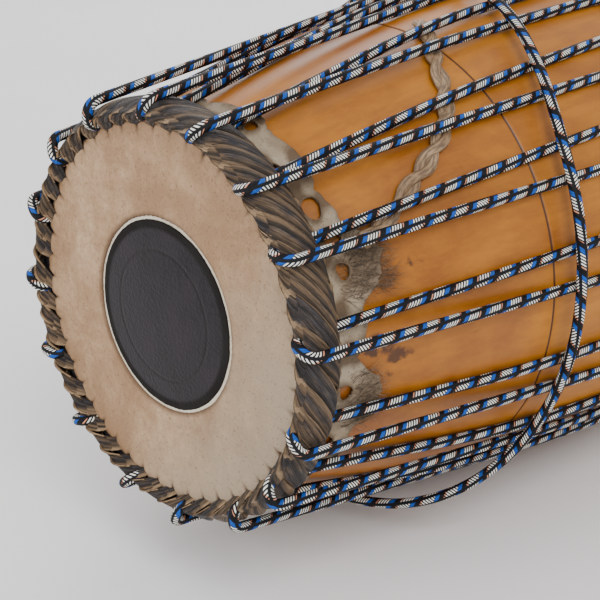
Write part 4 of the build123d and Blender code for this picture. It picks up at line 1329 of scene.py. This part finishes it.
def hair(name, patches, count):
    """Coarse hair left on the hide, in leaning tapered bristles."""
    points = []
    faces = []
    tones = []
    for _ in range(count):
        end, angle_low, angle_high, depth_low, depth_high = random.choice(patches)
        angle = random.uniform(angle_low, angle_high)
        depth = random.uniform(depth_low, depth_high)
        length = random.uniform(4, 12)
        lean = random.uniform(-1.1, 1.1)
        rise = random.uniform(0.15, 1.0)
        width = random.uniform(0.12, 0.26)
        start = len(points)
        tone = random.random()
        for step in range(HAIR_STEPS + 1):
            share = step / HAIR_STEPS
            thin = 1 - 0.85 * share
            along = depth + length * share * math.cos(lean)
            base = float(shell_radius(station_of(end, along)))
            turn = angle + math.degrees(length * share * math.sin(lean) / base)
            lift = 1.1 + rise * 1.6 * math.sin(share * math.pi * 0.8)
            half = math.degrees(width * thin / 2 / base)
            for side, up in ((-1, 0.0), (1, 0.0), (0, 0.16 * thin)):
                points.append(place(station_of(end, along), base + lift + up, turn + side * half))
                tones.append(tone)
        for step in range(HAIR_STEPS):
            for k in range(3):
                a, b = start + step * 3 + k, start + step * 3 + (k + 1) % 3
                faces.append((a, b, b + 3, a + 3))
    make_piece(name, points, faces, HAIR, tone=tones)


TAIL_LIFT = 1.75
PLY_PITCH = 34.0
PLY_RADIUS = 2.5
PLY_ASIDE = 2.3
PLY_RISE = 0.5
PLY_FLATNESS = 0.44


def rawhide_tail():
    """Two twisted plies of rawhide, pressed flat under the lacing."""
    angles = [angle for angle, _ in TAIL_ROUTE]
    corners = []
    for index, (angle, station) in enumerate(TAIL_ROUTE):
        radius = (float(shell_radius(station)) + TAIL_LIFT) * stretched(angles, index)
        corners.append(point(station, radius, angle))
    line = spline_through("rawhide_line", with_helpers(corners, arc_reach(corners, RUN_FILLET_SHARE)), 14)
    outward = unit_rows(line * np.array([0, 1, 1]) - np.array([0, 0, AXIS_HEIGHT * MM]))
    tangents = unit_rows(np.gradient(line, axis=0))
    sides = unit_rows(np.cross(outward, tangents))
    rises = np.cross(tangents, sides)
    along = length_along(line)
    surfaces = []
    for ply in (0, 1):
        phase = 2 * math.pi * along / PLY_PITCH + math.pi * ply
        aside = sides * (PLY_ASIDE * np.cos(phase) * MM)[:, None]
        centre = line + aside + rises * (PLY_RISE * np.sin(phase) * MM)[:, None]
        grown = PLY_RADIUS + 0.4 * wobble(51 + ply, along * 0.12)
        ends = np.clip(np.minimum(along, along[-1] - along) / 3.0, 0.08, 1)
        frames = (tangents, sides, rises)
        surfaces.append(tube_surface(centre, grown * ends, ROPE_SIDES, frames, PLY_FLATNESS))
    points, faces, uvs = join_surfaces(surfaces)
    piece = make_piece("rawhide_tail", points, faces, RAWHIDE, uvs)
    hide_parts("thong_tail")


# ------------------------------------------------------------------ studio

LENS = 81.4
EYE = (-0.620, -0.435, 0.3452)
EYE_RIGHT = (0.7165, -0.6976, 0.0)
EYE_AHEAD = (0.6525, 0.6702, -0.3536)
FLOOR_REACH = 6
# Lamps: name, place, aim, size and power
LAMPS = (
    ("key_light", (-0.9, -1.6, 1.7), (0, 0, 0.12), 1.2, 32),
    ("head_light", (-2.0, 0.2, 0.9), (-0.28, 0, 0.13), 1.0, 14),
    ("back_light", (1.2, 1.4, 1.6), (0, 0, 0.12), 1.4, 22),
)


def camera():
    """Camera at a three-quarter view of the treble head, from a little above."""
    data = bpy.data.cameras.new("studio_camera")
    data.lens = LENS
    data.sensor_width = 36.0
    eye = bpy.data.objects.new("studio_camera", data)
    eye.location = EYE
    right = Vector(EYE_RIGHT).normalized()
    ahead = Vector(EYE_AHEAD).normalized()
    above = right.cross(ahead)
    eye.rotation_mode = "QUATERNION"
    eye.rotation_quaternion = Matrix((right, above, -ahead)).transposed().to_quaternion()
    bpy.context.scene.collection.objects.link(eye)
    bpy.context.scene.camera = eye


def soft_light(name, place_at, aim, size, power):
    """Large square studio light."""
    data = bpy.data.lights.new(name, "AREA")
    data.shape = "SQUARE"
    data.size = size
    data.energy = power
    lamp = bpy.data.objects.new(name, data)
    lamp.location = place_at
    lamp.rotation_euler = (Vector(aim) - Vector(place_at)).to_track_quat("-Z", "Y").to_euler()
    bpy.context.scene.collection.objects.link(lamp)


def studio():
    """Pale floor and soft light all round."""
    points = [(x * FLOOR_REACH, y * FLOOR_REACH, 0) for x, y in ((-1, -1), (1, -1), (1, 1), (-1, 1))]
    mesh = bpy.data.meshes.new("floor")
    mesh.from_pydata(points, [], [(0, 1, 2, 3)])
    mesh.materials.append(studio_floor())
    floor = bpy.data.objects.new("studio_floor", mesh)
    bpy.context.scene.collection.objects.link(floor)
    world = bpy.data.worlds.new("studio")
    world.use_nodes = True
    back = world.node_tree.nodes["Background"]
    back.inputs["Color"].default_value = (1, 1, 1, 1)
    back.inputs["Strength"].default_value = 1.0
    bpy.context.scene.world = world
    for lamp in LAMPS:
        soft_light(*lamp)


# ------------------------------------------------------------------ the whole drum

camera()
lacing_rope()
knot_centre, knot_direction = waist_cord()
waist_knot(knot_centre, knot_direction)
lacing_knot()
rawhide_tail()
shell()
for side_name in ENDS:
    membrane(side_name, f"{side_name}_playing_skin")
    outer_ring(side_name, f"{side_name}_face_ring")
    braid(side_name, f"{side_name}_braid_folds")
    flap(side_name, f"{side_name}_flap")
tuning_patch()
hair("hair_tufts", HAIR_PATCHES, HAIR_COUNT)
node_finishes = {"reed_slivers": REED, **{f"{end}_braid_core": CORE_LEATHER for end in ENDS}}
for node_name, finish in node_finishes.items():
    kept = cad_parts[node_name]
    kept.data.materials.clear()
    kept.data.materials.append(finish)
studio()
